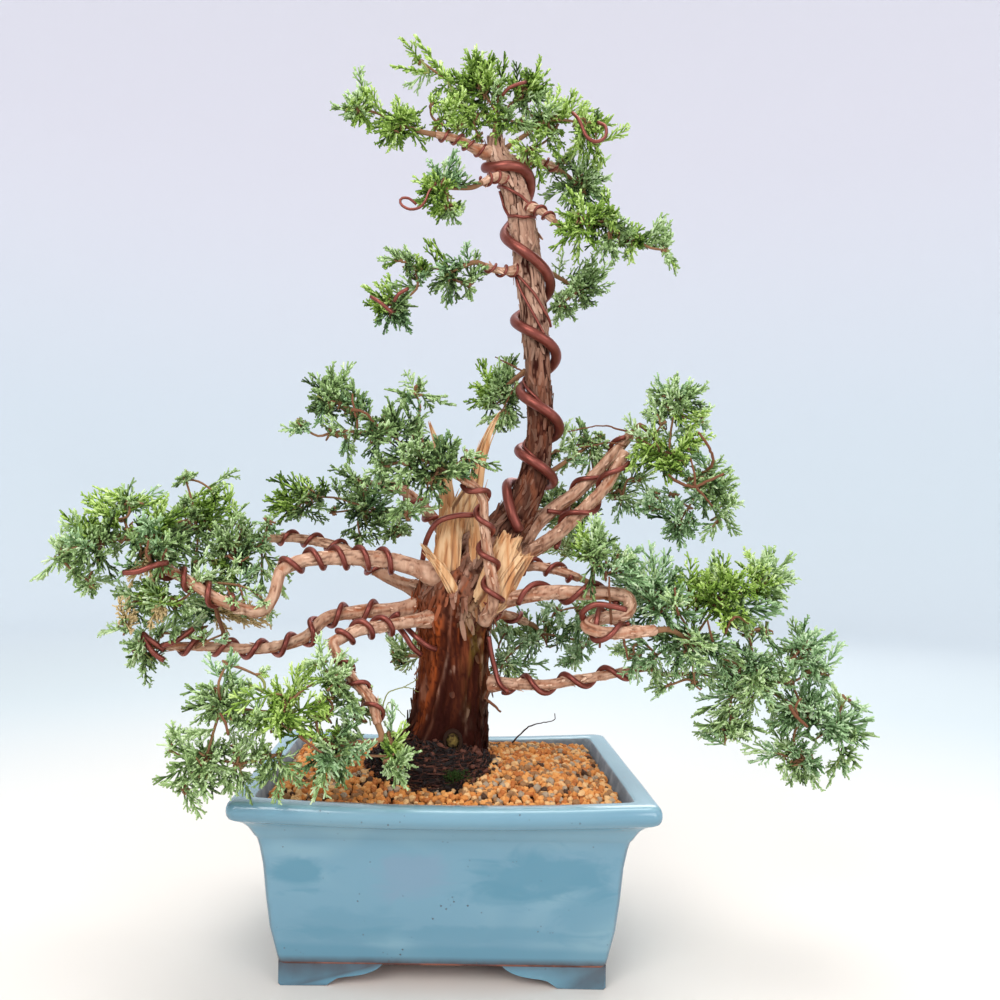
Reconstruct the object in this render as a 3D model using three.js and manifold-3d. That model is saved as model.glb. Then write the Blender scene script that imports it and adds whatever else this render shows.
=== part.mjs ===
// A kishu juniper bonsai in its glazed rectangular pot: pot, soil, trunk with torn deadwood, wired
// boughs and separate masses of scale foliage. Millimetres, +Z up, standing on the pot's feet.
import * as THREE from 'three';
import { mergeVertices } from 'three/addons/utils/BufferGeometryUtils.js';
import Module from 'manifold-3d';

const wasm = await Module();
wasm.setup();

// Driving dimensions. Places are measured from the middle of the pot at table height.
const GAP = 0.35; // left between pieces that touch on the real plant
const SEED = 200; // first number of the seeded rule that grows the foliage
const MERGE = 0.02; // flatness within which split faces count as one
const POT = {
  halfWidth: 144, halfDepth: 112, rimTop: 134, footHeight: 15, corner: 7,
  lip: 17, mouth: 131.5, waist: 26, waistHeight: 106, wallFoot: 40, floor: 24, rimDip: 3.5,
  footInset: 31.5, footLong: 73, footShort: 55, footFlat: 0.45, footWall: 13,
};
// Overhang of the rim past the outer wall at each height, from the underside up to the lip.
const POT_PROFILE = [[31, 14.5], [25.4, 42], [21, 86], [17.5, 103], [12.3, 114], [4.4, 120.5], [0.8, 122.5],
  [0, 127], [1.2, 132]];
const SOIL = { edgeTop: 126, crown: 15, rings: [1, 0.9, 0.76, 0.6, 0.44, 0.28], ripple: 1.6 };
const ROOT_MAT = { centre: [-12, -20, 128], radii: [50, 52, 33], ripple: 0.07, foot: 126.5 };

const TRUNK = {
  route: [[-2, -7, 130], [0, -6, 146], [3, -4, 168], [6, -1, 214], [5, 0, 241], [8, 2, 264], [22, 6, 290],
    [46, 9, 318], [64, 8, 350], [71, 6, 390], [69, 4, 433], [65, 2, 479], [59, 0, 524], [52, -1, 564],
    [43, -2, 590], [34, -3, 606], [32, -3, 621]],
  radii: [40, 34.5, 29, 26, 27.5, 31, 25, 16, 11.5, 10, 10, 10.5, 10.5, 10, 9.5, 7.5, 5.5],
  sides: 12, steps: 30, lobes: 5, flareTo: 0.16, flare: 0.15, ribs: 0.05,
};

// Torn deadwood: each splinter has a route, half widths along it and how flat it is.
const DEADWOOD = [
  { name: 'deadwood_spike', splinters: [{
    route: [[1, 2, 268], [3, 2, 300], [10, 2, 328], [19, 1, 348], [26, 0, 378], [33, -1, 396], [40, -2, 408]],
    halves: [12, 12, 10.5, 9, 5.6, 3.6, 0.8], flat: 0.42 }] },
  { name: 'deadwood_rear_spike', splinters: [{
    route: [[-2, 17, 276], [0, 17, 323], [-6, 19, 370], [-17, 20, 403]],
    halves: [9, 8, 5, 0.8], flat: 0.5 }] },
  { name: 'deadwood_stub', splinters: [
    { route: [[27, -25, 254], [36, -25, 282], [49, -25, 314]], halves: [10, 10, 7], flat: 0.5 },
    { route: [[33, -26, 254], [44, -26, 278], [60, -26, 302]], halves: [9, 9.5, 6], flat: 0.55 }] },
  { name: 'deadwood_shard', splinters: [{
    route: [[8, -29, 263], [-4, -31, 284], [-21, -32, 305]], halves: [4.5, 4, 0.7], flat: 0.6 }] },
  { name: 'deadwood_inner', splinters: [{
    route: [[20, -16, 276], [21, -16, 310], [20, -16, 333]], halves: [5, 4.5, 2.2], flat: 0.6 }] },
];

// Boughs: route from the trunk outwards, radius at foot and tip. Those that hook back are in two limbs.
const BOUGHS = [
  { name: 'bough_left_main', foot: 7, tip: 4.6,
    route: [[2, -12, 276], [-40, -24, 290], [-76, -36, 293], [-107, -46, 290], [-122, -50, 282]] },
  { name: 'bough_left_return', foot: 4.5, tip: 3.6, free: true,
    route: [[-121, -52, 279], [-124, -60, 264], [-131, -64, 255], [-158, -66, 262], [-184, -66, 277],
      [-206, -64, 287]] },
  { name: 'bough_left_rear', foot: 5.5, tip: 3.2,
    route: [[-8, 8, 262], [-50, 16, 278], [-85, 24, 299], [-125, 29, 307], [-146, 30, 306]] },
  { name: 'bough_left_low', foot: 6, tip: 3,
    route: [[-10, 0, 255], [-48, -7, 252], [-67, -11, 251], [-92, -18, 246], [-105, -22, 233],
      [-136, -28, 224], [-175, -34, 226], [-208, -38, 226]] },
  { name: 'bough_front_low', foot: 5, tip: 4,
    route: [[0, -10, 249], [-41, -48, 245], [-64, -68, 242], [-77, -78, 236]] },
  { name: 'bough_front_drop', foot: 4, tip: 3.2, free: true,
    route: [[-78, -80, 235], [-65, -92, 215], [-49, -102, 200], [-44, -110, 186]] },
  { name: 'bough_up_front', foot: 5, tip: 3.2,
    route: [[28, -18, 246], [34, -34, 262], [29, -39, 299], [26, -41, 322], [25, -43, 337],
      [17, -47, 347], [9, -50, 351]] },
  { name: 'bough_left_mid', foot: 6, tip: 3.6,
    route: [[12, 12, 282], [-12, 34, 324], [-40, 32, 348], [-62, 28, 352]] },
  { name: 'bough_right_lower_arm', foot: 6.5, tip: 4,
    route: [[40, 4, 284], [83, 5, 311], [102, 4, 329], [121, 2, 349], [137, -1, 378]] },
  { name: 'bough_right_upper_arm', foot: 6.5, tip: 4,
    route: [[50, 12, 302], [84, 19, 333], [104, 20, 348], [119, 18, 364], [144, 13, 393]] },
  { name: 'bough_right_mid', foot: 4.5, tip: 3,
    route: [[28, 4, 282], [66, -14, 288], [80, -22, 286], [98, -34, 280]] },
  { name: 'bough_right_main', foot: 6, tip: 4.8,
    route: [[22, -8, 255], [61, -33, 267], [79, -41, 270], [96, -47, 270], [119, -50, 270],
      [129, -51, 268]] },
  { name: 'bough_right_hook', foot: 4.8, tip: 4, free: true,
    route: [[131, -54, 261], [124, -61, 255], [106, -66, 253], [97, -72, 249], [106, -78, 245],
      [126, -76, 245], [146, -70, 246]] },
  { name: 'bough_right_rear_low', route: [[16, 6, 248], [50, 26, 247], [66, 40, 240]], foot: 4.5, tip: 3 },
  { name: 'bough_right_lowest', foot: 5, tip: 3,
    route: [[14, 0, 196], [56, -13, 198], [77, -20, 199], [99, -26, 204], [117, -30, 208],
      [140, -34, 213]] },
  { name: 'bough_top_left', foot: 4, tip: 2.6,
    route: [[36, -3, 604], [14, -8, 609], [3, -10, 614], [-14, -13, 616]] },
  { name: 'bough_upper_left', route: [[46, -2, 587], [32, -16, 583], [21, -24, 575]], foot: 3.2, tip: 2.4 },
  { name: 'bough_top_right_rear', foot: 3.4, tip: 2.4,
    route: [[40, 0, 602], [60, 10, 606], [74, 17, 608], [84, 22, 605]] },
  { name: 'bough_upper_right', foot: 3.2, tip: 2.4,
    route: [[53, -3, 566], [66, -16, 558], [77, -24, 547]] },
  { name: 'bough_mid_left', route: [[59, 0, 519], [38, -12, 513], [24, -19, 515]], foot: 3.2, tip: 2.4 },
];

// Training wire wound on the limbs: where it starts and ends along a limb, its turns and its radius.
const TRUNK_WIRE = {
  crossings: [603, 582, 546, 503, 480, 449, 425, 394, 376, 357, 346, 300],
  lastPart: 0.6, radius: 4, sides: 5, perHalfTurn: 5,
};
const BOUGH_WIRES = [
  { name: 'wire_left_main', limb: 'bough_left_main', span: [0.3, 0.96], turns: 5, phase: 40 },
  { name: 'wire_left_return', limb: 'bough_left_return', span: [0.42, 0.94], turns: 3, phase: 200 },
  { name: 'wire_left_low', limb: 'bough_left_low', span: [0.2, 0.96], turns: 7, phase: 0 },
  { name: 'wire_front_low', limb: 'bough_front_low', span: [0.45, 0.96], turns: 3, phase: 90 },
  { name: 'wire_right_lower_arm', limb: 'bough_right_lower_arm', span: [0.34, 0.95], turns: 3, phase: 90 },
  { name: 'wire_right_main', limb: 'bough_right_main', span: [0.42, 0.96], turns: 2.5, phase: 120 },
  { name: 'wire_right_lowest', limb: 'bough_right_lowest', span: [0.34, 0.96], turns: 4, phase: 30 },
];
const BOUGH_WIRE = { radius: 2.1, sides: 4, perTurn: 7 };

// Foliage: each mass is made of rounded lobes [x, y, z, radius x, radius y, radius z], its own space.
// Its stem starts at a bough's tip, at the trunk's tip or at a place on the bark.
const FOLIAGE = [
  { name: 'foliage_apex_top', from: 'tip', tips: [[-33, -6, 696], [-51, -10, 669]],
    lobes: [[34, -2, 636, 21, 24, 17], [18, -6, 658, 31, 34, 29], [54, 2, 658, 27, 30, 22]] },
  { name: 'foliage_apex_right', from: [41, -3, 611],
    lobes: [[72, -8, 631, 26, 26, 18], [100, -12, 625, 23, 24, 17]] },
  { name: 'foliage_top_left', from: 'bough_top_left',
    lobes: [[-42, -16, 622, 27, 24, 19], [-72, -20, 632, 21, 20, 15]] },
  { name: 'foliage_upper_left', from: 'bough_upper_left', lobes: [[-8, -36, 566, 25, 26, 24]] },
  { name: 'foliage_top_right_rear', from: 'bough_top_right_rear', lobes: [[103, 30, 597, 26, 26, 27]] },
  { name: 'foliage_upper_right', from: 'bough_upper_right', tips: [[165, -40, 505]],
    lobes: [[100, -32, 544, 30, 28, 21], [132, -38, 531, 28, 24, 18]] },
  { name: 'foliage_mid_left', from: 'bough_mid_left',
    lobes: [[0, -24, 508, 24, 24, 18], [-27, -28, 508, 22, 24, 19], [-44, -30, 480, 24, 26, 22]] },
  { name: 'foliage_mid_right', from: [70, 4, 521], lobes: [[103, 24, 510, 23, 24, 24]] },
  { name: 'foliage_leader_rear', from: [59, 8, 441], lobes: [[38, 27, 426, 26, 26, 34]] },
  { name: 'foliage_upper_front', from: 'bough_up_front',
    lobes: [[-8, -52, 359, 30, 34, 30], [-46, -58, 385, 31, 34, 24], [-85, -62, 405, 30, 32, 25]] },
  { name: 'foliage_left_mid', from: 'bough_left_mid',
    lobes: [[-67, 26, 332, 32, 34, 29], [-113, 22, 340, 37, 32, 22]] },
  { name: 'foliage_left_outer', from: 'bough_left_return', tips: [[-278, -66, 302]],
    lobes: [[-211, -60, 301, 37, 46, 37], [-246, -66, 302, 34, 42, 32], [-213, -54, 265, 23, 32, 26]] },
  { name: 'foliage_left_inner', from: 'bough_left_rear', tips: [[-205, 4, 359]],
    lobes: [[-167, 8, 298, 30, 42, 41], [-198, 4, 320, 34, 46, 38], [-187, -8, 251, 20, 28, 23]] },
  { name: 'foliage_left_low', from: 'bough_left_low', lobes: [[-222, -42, 225, 19, 26, 28]] },
  { name: 'foliage_front_low', from: 'bough_front_drop',
    lobes: [[-75, -110, 172, 31, 40, 27], [-106, -118, 195, 32, 42, 26], [-142, -126, 200, 24, 36, 20],
      [-153, -122, 163, 28, 38, 26], [-34, -112, 166, 20, 28, 17], [-73, -106, 215, 22, 30, 17]] },
  { name: 'foliage_rear_low_left', from: [-6, 16, 214], lobes: [[-42, 74, 207, 24, 28, 21]] },
  { name: 'foliage_right_crown', from: 'bough_right_upper_arm', tips: [[177, 2, 442]],
    lobes: [[171, 2, 373, 34, 40, 31], [176, 2, 415, 30, 34, 28], [200, 6, 355, 25, 36, 39],
      [180, 0, 324, 30, 32, 22]] },
  { name: 'foliage_right_inner', from: [72, 10, 356],
    lobes: [[116, 32, 387, 30, 26, 21], [138, 36, 350, 18, 24, 24]] },
  { name: 'foliage_right_rear', from: [57, 19, 326], lobes: [[102, 64, 338, 34, 38, 41]] },
  { name: 'foliage_right_front', from: 'bough_right_mid', lobes: [[103, -56, 300, 20, 30, 31]] },
  { name: 'foliage_right_rear_low', from: 'bough_right_rear_low', lobes: [[84, 70, 222, 43, 40, 38]] },
  { name: 'foliage_right_far', from: 'bough_right_lowest',
    via: [[168, -10, 206], [206, 10, 204], [244, -14, 196]],
    tips: [[310, -38, 173]],
    lobes: [[265, -36, 184, 29, 40, 31], [263, -34, 228, 25, 32, 28], [288, -38, 173, 25, 34, 26],
      [262, -34, 151, 27, 34, 25]] },
  { name: 'foliage_right_big', from: 'bough_right_hook',
    lobes: [[179, -42, 235, 41, 44, 27], [157, -34, 265, 41, 44, 34], [204, -30, 268, 37, 48, 36],
      [234, -28, 276, 24, 34, 28], [224, -32, 215, 32, 44, 32], [209, -38, 173, 28, 32, 19]] },
];
const SPRAY = {
  length: 34, spread: 0.92, tipSpread: 0.4, outer: 0.8, valley: 0.6, thick: 1.5, teeth: 3, twig: 2.2, sunk: 0.6,
  area: 2800,
};
const CORE = { shares: [0.56, 0.48, 0.38], lumps: 0.3, foot: 0.2, coarseBelow: 33 };
const STEM = { foot: 2.6, tip: 1.5 };

const COLOURS = {
  glaze: 0x6aa5c4, soil: 0xc98a4b, roots: 0x2b1713, bark: 0x8a5238, limb: 0xa87058,
  deadwood: 0xd9a868, wire: 0x7d4038, foliage: 0x5c8f5f, freshFoliage: 0x7fb04a,
};
const FRESH = ['foliage_apex_top', 'foliage_apex_right', 'foliage_upper_right', 'foliage_top_left'];

const vector = ([x, y, z]) => new THREE.Vector3(x, y, z);
const routeOf = (points) => new THREE.CatmullRomCurve3(points.map(vector), false, 'centripetal');
const turn = (degrees) => THREE.MathUtils.degToRad(degrees);

// A small seeded generator, so that every build gives the same plant.
function seeded(seed) {
  let state = seed >>> 0;
  return () => {
    state = (state + 0x6d2b79f5) >>> 0;
    let t = Math.imul(state ^ (state >>> 15), 1 | state);
    t = (t + Math.imul(t ^ (t >>> 7), 61 | t)) ^ t;
    return ((t ^ (t >>> 14)) >>> 0) / 4294967296;
  };
}

// A closed three.js geometry as a solid that can be cut and joined.
function solidOf(geometry) {
  const bare = geometry.clone();
  bare.deleteAttribute('normal');
  bare.deleteAttribute('uv');
  const merged = mergeVertices(bare, 1e-4);
  const made = new wasm.Manifold(new wasm.Mesh({
    numProp: 3,
    vertProperties: new Float32Array(merged.attributes.position.array),
    triVerts: new Uint32Array(merged.index.array),
  }));
  return made;
}

function geometryOf(solid) {
  const mesh = solid.getMesh();
  const geometry = new THREE.BufferGeometry();
  geometry.setAttribute('position', new THREE.BufferAttribute(new Float32Array(mesh.vertProperties), 3));
  geometry.setIndex(new THREE.BufferAttribute(new Uint32Array(mesh.triVerts), 1));
  geometry.computeVertexNormals();
  return geometry;
}

// The largest single body of a solid: scraps of cuts are left out, and flat faces that joins split are whole.
function mainBody(solid) {
  const largest = solid.decompose().reduce((best, body) => (body.volume() > best.volume() ? body : best));
  return new wasm.Manifold(largest.getMesh()).asOriginal().simplify(MERGE);
}

// The volume that two solids share.
function overlap(a, b) {
  const [first, second] = [a.boundingBox(), b.boundingBox()];
  if ([0, 1, 2].some((k) => first.min[k] > second.max[k] || second.min[k] > first.max[k])) return 0;
  const shared = a.intersect(b);
  const volume = shared.volume();
  shared.delete();
  return volume;
}
const meets = (a, b) => overlap(a, b) > 1e-6;

// What is left of a solid where the cutters reach into it.
function carved(solid, cutters) {
  const near = cutters.filter((cutter) => meets(solid, cutter));
  return mainBody(near.reduce((rest, cutter) => rest.subtract(cutter), solid));
}

// Stations along a route with frames that don't twist: {point, along, side, other}.
function stations(points) {
  const made = [];
  const [back, across] = [new THREE.Vector3(0, 1, 0), new THREE.Vector3(1, 0, 0)];
  let side = null;
  points.forEach((point, i) => {
    const before = points[Math.max(i - 1, 0)];
    const after = points[Math.min(i + 1, points.length - 1)];
    const along = after.clone().sub(before).normalize();
    if (!side) side = back.clone().cross(along).lengthSq() > 0.04 ? back : across;
    side = side.clone().addScaledVector(along, -side.dot(along)).normalize();
    made.push({ point, along, side, other: side.clone().cross(along) });
  });
  return made;
}

// A point beside a station.
const offset = (station, a, b) => station.point.clone()
  .addScaledVector(station.side, a).addScaledVector(station.other, b);

// Bends a cylinder along the points. reach(share, angle) gives [distance along side, distance along other].
function sweep(points, sides, reach) {
  const frames = stations(points);
  const steps = points.length - 1;
  const geometry = new THREE.CylinderGeometry(1, 1, 1, sides, steps);
  const position = geometry.attributes.position;
  for (let i = 0; i < position.count; i += 1) {
    const share = position.getY(i) + 0.5;
    const frame = frames[Math.round(share * steps)];
    const angle = Math.atan2(position.getZ(i), position.getX(i));
    const span = Math.min(1, Math.hypot(position.getX(i), position.getZ(i)));
    const [a, b] = reach(share, angle);
    const place = offset(frame, a * span, b * span);
    position.setXYZ(i, place.x, place.y, place.z);
  }
  return solidOf(geometry);
}

const round = (radius) => (share, angle) => {
  const r = typeof radius === 'number' ? radius : radius(share);
  return [r * Math.cos(angle), r * Math.sin(angle)];
};

// A value read from a list of evenly spread values along a route.
function along(values, share) {
  const place = Math.min(share, 1) * (values.length - 1);
  const i = Math.min(Math.floor(place), values.length - 2);
  return THREE.MathUtils.lerp(values[i], values[i + 1], place - i);
}

// The trunk: flared and lobed at the foot, ribbed above, tapering into the leader.
function trunkSolid(grow = 0) {
  const curve = routeOf(TRUNK.route);
  const points = Array.from({ length: TRUNK.steps + 1 }, (_, i) => curve.getPoint(i / TRUNK.steps));
  if (grow) points[0].z -= grow;
  return sweep(points, TRUNK.sides, (share, angle) => {
    const foot = Math.max(0, 1 - share / TRUNK.flareTo);
    const lobe = 1 + TRUNK.flare * foot * Math.cos(TRUNK.lobes * angle + 0.6)
      + TRUNK.ribs * Math.sin(3 * angle + 9 * share) * Math.sin(21 * share + angle);
    const r = along(TRUNK.radii, share) * lobe + grow;
    return [r * Math.cos(angle), r * Math.sin(angle)];
  });
}

// A tapering bough with a slight swelling where it leaves the trunk.
function boughSolid(bough, grow = 0) {
  const curve = routeOf(bough.route);
  const steps = Math.max(4, Math.round(curve.getLength() / 17));
  const points = curve.getSpacedPoints(steps);
  return sweep(points, 6, round((share) => {
    const collar = bough.free ? 0 : 0.35 * Math.max(0, 1 - share * 6);
    return THREE.MathUtils.lerp(bough.foot, bough.tip, share) * (1 + collar) + grow;
  }));
}

// One splinter of deadwood: a flat tapering blade with torn edges.
function splinterSolid({ route, halves, flat }, seed, grow = 0) {
  const random = seeded(seed);
  const steps = 7;
  const points = routeOf(route).getSpacedPoints(steps);
  const tears = Array.from({ length: (steps + 1) * 7 }, () => 0.86 + 0.28 * random());
  const grain = new THREE.Vector3(0, 1, 0);
  const frames = stations(points);
  return sweep(points, 6, (share, angle) => {
    const step = Math.round(share * steps);
    const tear = tears[step * 7 + (Math.round(((angle + Math.PI) / (2 * Math.PI)) * 6 + 0.2) % 6)];
    const half = along(halves, share) * tear;
    const facing = Math.abs(frames[step].side.dot(grain)) > 0.7;
    const reach = [half * (facing ? flat : 1) + grow, half * (facing ? 1 : flat) + grow];
    return [reach[0] * Math.cos(angle), reach[1] * Math.sin(angle)];
  });
}

// A ring of a rounded rectangle, point by point from its angle.
function rectanglePoint(angle, halfX, halfY, corner) {
  const perCorner = 4;
  const slots = perCorner * 4;
  const slot = Math.round(((angle + Math.PI) / (2 * Math.PI)) * slots + slots) % slots;
  const quadrant = Math.floor(slot / perCorner);
  const within = (slot % perCorner) / (perCorner - 1);
  const swing = turn(90 * (quadrant + within));
  const signX = quadrant === 0 || quadrant === 3 ? 1 : -1;
  const signY = quadrant < 2 ? 1 : -1;
  const [centreX, centreY] = [signX * (halfX - corner), signY * (halfY - corner)];
  return [centreX + corner * Math.cos(swing), centreY + corner * Math.sin(swing)];
}
const RECTANGLE_SIDES = 16;

// A closed solid through rounded rectangles: each ring is {x, y, corner, z(px, py)}.
function ringed(rings) {
  const geometry = new THREE.CylinderGeometry(1, 1, 1, RECTANGLE_SIDES, rings.length - 1);
  const position = geometry.attributes.position;
  for (let i = 0; i < position.count; i += 1) {
    const ring = rings[Math.round((position.getY(i) + 0.5) * (rings.length - 1))];
    const span = Math.hypot(position.getX(i), position.getZ(i));
    const angle = Math.atan2(-position.getZ(i), position.getX(i));
    const [x, y] = span < 0.5 ? [0, 0] : rectanglePoint(angle, ring.x, ring.y, ring.corner);
    position.setXYZ(i, x, y, ring.z(x, y));
  }
  return solidOf(geometry);
}

// Rim height at a place: the long sides dip a little between their corners.
const rimDip = (x) => -POT.rimDip * (1 - Math.min(1, Math.abs(x) / (POT.halfWidth - POT.lip)) ** 2);

function potSolid() {
  const { halfWidth, halfDepth, corner, lip, rimTop, mouth, waist, waistHeight, wallFoot, floor } = POT;
  const outer = POT_PROFILE.map(([inset, z]) => ({
    x: halfWidth - inset, y: halfDepth - inset, corner, z: (x) => (z > 118 ? z + rimDip(x) : z),
  }));
  const top = [4, lip - 2].map((inset) => ({
    x: halfWidth - inset,
    y: halfDepth - inset,
    corner: Math.max(2.5, corner - inset * 0.3),
    z: (x) => rimTop + rimDip(x),
  }));
  const inner = [
    { x: halfWidth - lip, y: halfDepth - lip, corner: 4, z: (x) => mouth + rimDip(x) },
    { x: halfWidth - waist, y: halfDepth - waist, corner: 4, z: () => waistHeight },
    { x: halfWidth - wallFoot, y: halfDepth - wallFoot, corner: 4, z: () => floor },
  ];
  const body = ringed([...outer, ...top, ...inner]);
  return [[1, 1], [1, -1], [-1, 1], [-1, -1]].reduce((pot, [sx, sy]) => pot.add(footSolid(sx, sy)), body);
}

// One scroll-edged foot under a corner: a run along the front and a run along the side.
function footSolid(sx, sy) {
  const halfX = POT.halfWidth - POT.footInset;
  const halfY = POT.halfDepth - POT.footInset;
  const run = (length, depth) => {
    const flat = length * POT.footFlat;
    const h = POT.footHeight + 1.5;
    const outline = new THREE.Shape();
    outline.moveTo(0, 0).lineTo(flat, 0).quadraticCurveTo(flat + 6, 5, flat + 14, 6.5);
    outline.quadraticCurveTo(length - 6, 8, length, h).lineTo(0, h).closePath();
    return new THREE.ExtrudeGeometry(outline, { depth, bevelEnabled: false, curveSegments: 3 });
  };
  const front = run(POT.footLong, POT.footWall).rotateX(turn(90)).translate(-halfX, -halfY + POT.footWall, 0);
  const flank = run(POT.footShort, POT.footWall).rotateX(turn(90)).rotateZ(turn(90));
  flank.translate(-halfX, -halfY, 0);
  const corner = solidOf(front).add(solidOf(flank));
  const mirrored = corner.scale([sx, sy, 1]);
  return mirrored;
}

function soilSolid(grow = 0) {
  const { halfWidth, halfDepth, lip, mouth, waist, waistHeight, wallFoot, floor } = POT;
  const ripple = (x, y) => SOIL.ripple * Math.sin(0.31 * x + 1.7) * Math.cos(0.23 * y + 0.11 * x);
  const share = (SOIL.edgeTop - waistHeight) / (mouth - waistHeight);
  const topInset = THREE.MathUtils.lerp(waist, lip, share) + 2 * GAP;
  const lower = [[wallFoot, floor + GAP], [waist, waistHeight]].map(([inset, z]) => ({
    x: halfWidth - inset - 2 * GAP, y: halfDepth - inset - 2 * GAP, corner: 4, z: () => z,
  }));
  const surface = SOIL.rings.map((f) => ({
    x: (halfWidth - topInset) * f, y: (halfDepth - topInset) * f, corner: 4 + 20 * (1 - f),
    z: (x, y) => SOIL.edgeTop + SOIL.crown * (1 - f * f) + ripple(x, y) + grow,
  }));
  return ringed([...lower, ...surface]);
}

// The dark fibrous mat of old surface roots round the foot of the trunk.
function rootMatSolid(grow = 0) {
  const random = seeded(5);
  const [rx, ry, rz] = ROOT_MAT.radii;
  const geometry = new THREE.SphereGeometry(1, 16, 9);
  geometry.rotateX(turn(90));
  geometry.deleteAttribute('normal');
  geometry.deleteAttribute('uv');
  const ball = mergeVertices(geometry, 1e-4);
  const position = ball.attributes.position;
  for (let i = 0; i < position.count; i += 1) {
    const ripple = 1 + ROOT_MAT.ripple * (2 * random() - 1);
    position.setXYZ(i, position.getX(i) * (rx * ripple + grow), position.getY(i) * (ry * ripple + grow),
      position.getZ(i) * (rz * ripple + grow));
  }
  ball.translate(...ROOT_MAT.centre);
  const below = new THREE.BoxGeometry(200, 200, 100).translate(0, 0, ROOT_MAT.foot - grow - 50);
  return solidOf(ball).subtract(solidOf(below));
}

// How far a wound wire's middle runs from its limb's middle, so that its straight runs clear the bark.
const woundReach = (limb, wire, perTurn) => (limb + wire + GAP) / Math.cos(Math.PI / perTurn) + 0.15;

// The heavy wire round the leader: down its front from left to right and up behind. Its heights are
// given at each half turn.
function trunkWireSolid(grow = 0) {
  const { crossings, lastPart, perHalfTurn, radius, sides } = TRUNK_WIRE;
  const curve = routeOf(TRUNK.route);
  const whole = (crossings.length - 1) * perHalfTurn;
  const count = Math.round(whole - (1 - lastPart) * perHalfTurn);
  const heights = Array.from({ length: count + 1 }, (_, i) => along(crossings, i / whole));
  const shares = heights.map((height) => shareAtHeight(curve, height));
  const points = stations(shares.map((share) => curve.getPoint(share))).map((frame, i) => {
    const angle = (i / perHalfTurn) * Math.PI;
    const reach = woundReach(along(TRUNK.radii, shares[i]) * (1 + TRUNK.ribs), radius, 2 * perHalfTurn);
    return offset(frame, -reach * Math.sin(angle), reach * Math.cos(angle));
  });
  return sweep(points, sides, round(radius + grow));
}

function shareAtHeight(curve, height) {
  let low = 0;
  let high = 1;
  for (let i = 0; i < 30; i += 1) {
    const mid = (low + high) / 2;
    if (curve.getPoint(mid).z < height) low = mid;
    else high = mid;
  }
  return low;
}

// A thinner wire wound round one bough.
function boughWireSolid(wire, grow = 0) {
  const bough = BOUGHS.find((b) => b.name === wire.limb);
  const curve = routeOf(bough.route);
  const count = Math.round(wire.turns * BOUGH_WIRE.perTurn);
  const shares = Array.from({ length: count + 1 }, (_, i) => THREE.MathUtils.lerp(...wire.span, i / count));
  const points = stations(shares.map((share) => curve.getPointAt(share))).map((frame, i) => {
    const limb = THREE.MathUtils.lerp(bough.foot, bough.tip, shares[i]);
    const angle = turn(wire.phase) + (i / BOUGH_WIRE.perTurn) * 2 * Math.PI;
    const reach = woundReach(limb, BOUGH_WIRE.radius, BOUGH_WIRE.perTurn);
    return offset(frame, reach * Math.cos(angle), reach * Math.sin(angle));
  });
  return sweep(points, BOUGH_WIRE.sides, round(BOUGH_WIRE.radius + grow));
}

// A toothed fan of scale foliage on a flat twig: the twig's foot at the origin, the tip along +Y.
function sprigGeometry(reach, from, spread) {
  const { teeth, thick, outer, valley } = SPRAY;
  const length = Math.min(SPRAY.length, 0.86 * reach);
  const half = SPRAY.twig / 2;
  const root = reach - length;
  const foot = Math.min(from, root + 0.25 * length);
  const outline = new THREE.Shape();
  outline.moveTo(-half, foot).lineTo(half, foot);
  for (let i = 0; i < teeth; i += 1) {
    const swing = spread * ((2 * i) / (teeth - 1) - 1);
    const tooth = length * (1 - (1 - outer) * Math.abs(swing / spread));
    outline.lineTo(-tooth * Math.sin(swing), root + tooth * Math.cos(swing));
    if (i < teeth - 1) {
      const between = swing + spread / (teeth - 1);
      outline.lineTo(-valley * length * Math.sin(between), root + valley * length * Math.cos(between));
    }
  }
  outline.closePath();
  const plate = new THREE.ExtrudeGeometry(outline, { depth: thick, bevelEnabled: false });
  return plate.translate(0, 0, -thick / 2);
}

const middleOf = (lobe) => new THREE.Vector3(lobe[0], lobe[1], lobe[2]);

// How deep a point lies in a mass's space: 1 on the surface of a lobe, less inside.
function depthIn(lobes, point) {
  const shares = lobes.map(([x, y, z, rx, ry, rz]) => {
    return Math.hypot((point.x - x) / rx, (point.y - y) / ry, (point.z - z) / rz);
  });
  return Math.min(...shares);
}

const onLobe = (lobe, direction, share) => {
  const reach = new THREE.Vector3(lobe[3], lobe[4], lobe[5]).multiply(direction).multiplyScalar(share);
  return middleOf(lobe).add(reach);
};

// Directions spread evenly over a ball.
function evenDirections(count, start) {
  const golden = Math.PI * (3 - Math.sqrt(5));
  return Array.from({ length: count }, (_, i) => {
    const rise = 1 - (2 * (i + 0.5)) / count;
    const flat = Math.sqrt(1 - rise * rise);
    const angle = golden * i + start;
    return new THREE.Vector3(flat * Math.cos(angle), flat * Math.sin(angle), rise);
  });
}

// Where a mass's stem starts, clear of what carries it.
function stemStart(mass) {
  if (mass.from === 'tip') return vector(TRUNK.route.at(-1)).add(new THREE.Vector3(0, 0, GAP));
  if (Array.isArray(mass.from)) return vector(mass.from);
  const route = BOUGHS.find((b) => b.name === mass.from).route;
  const end = vector(route.at(-1));
  const heading = end.clone().sub(routeOf(route).getPoint(0.97)).normalize();
  return end.addScaledVector(heading, GAP);
}

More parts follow.
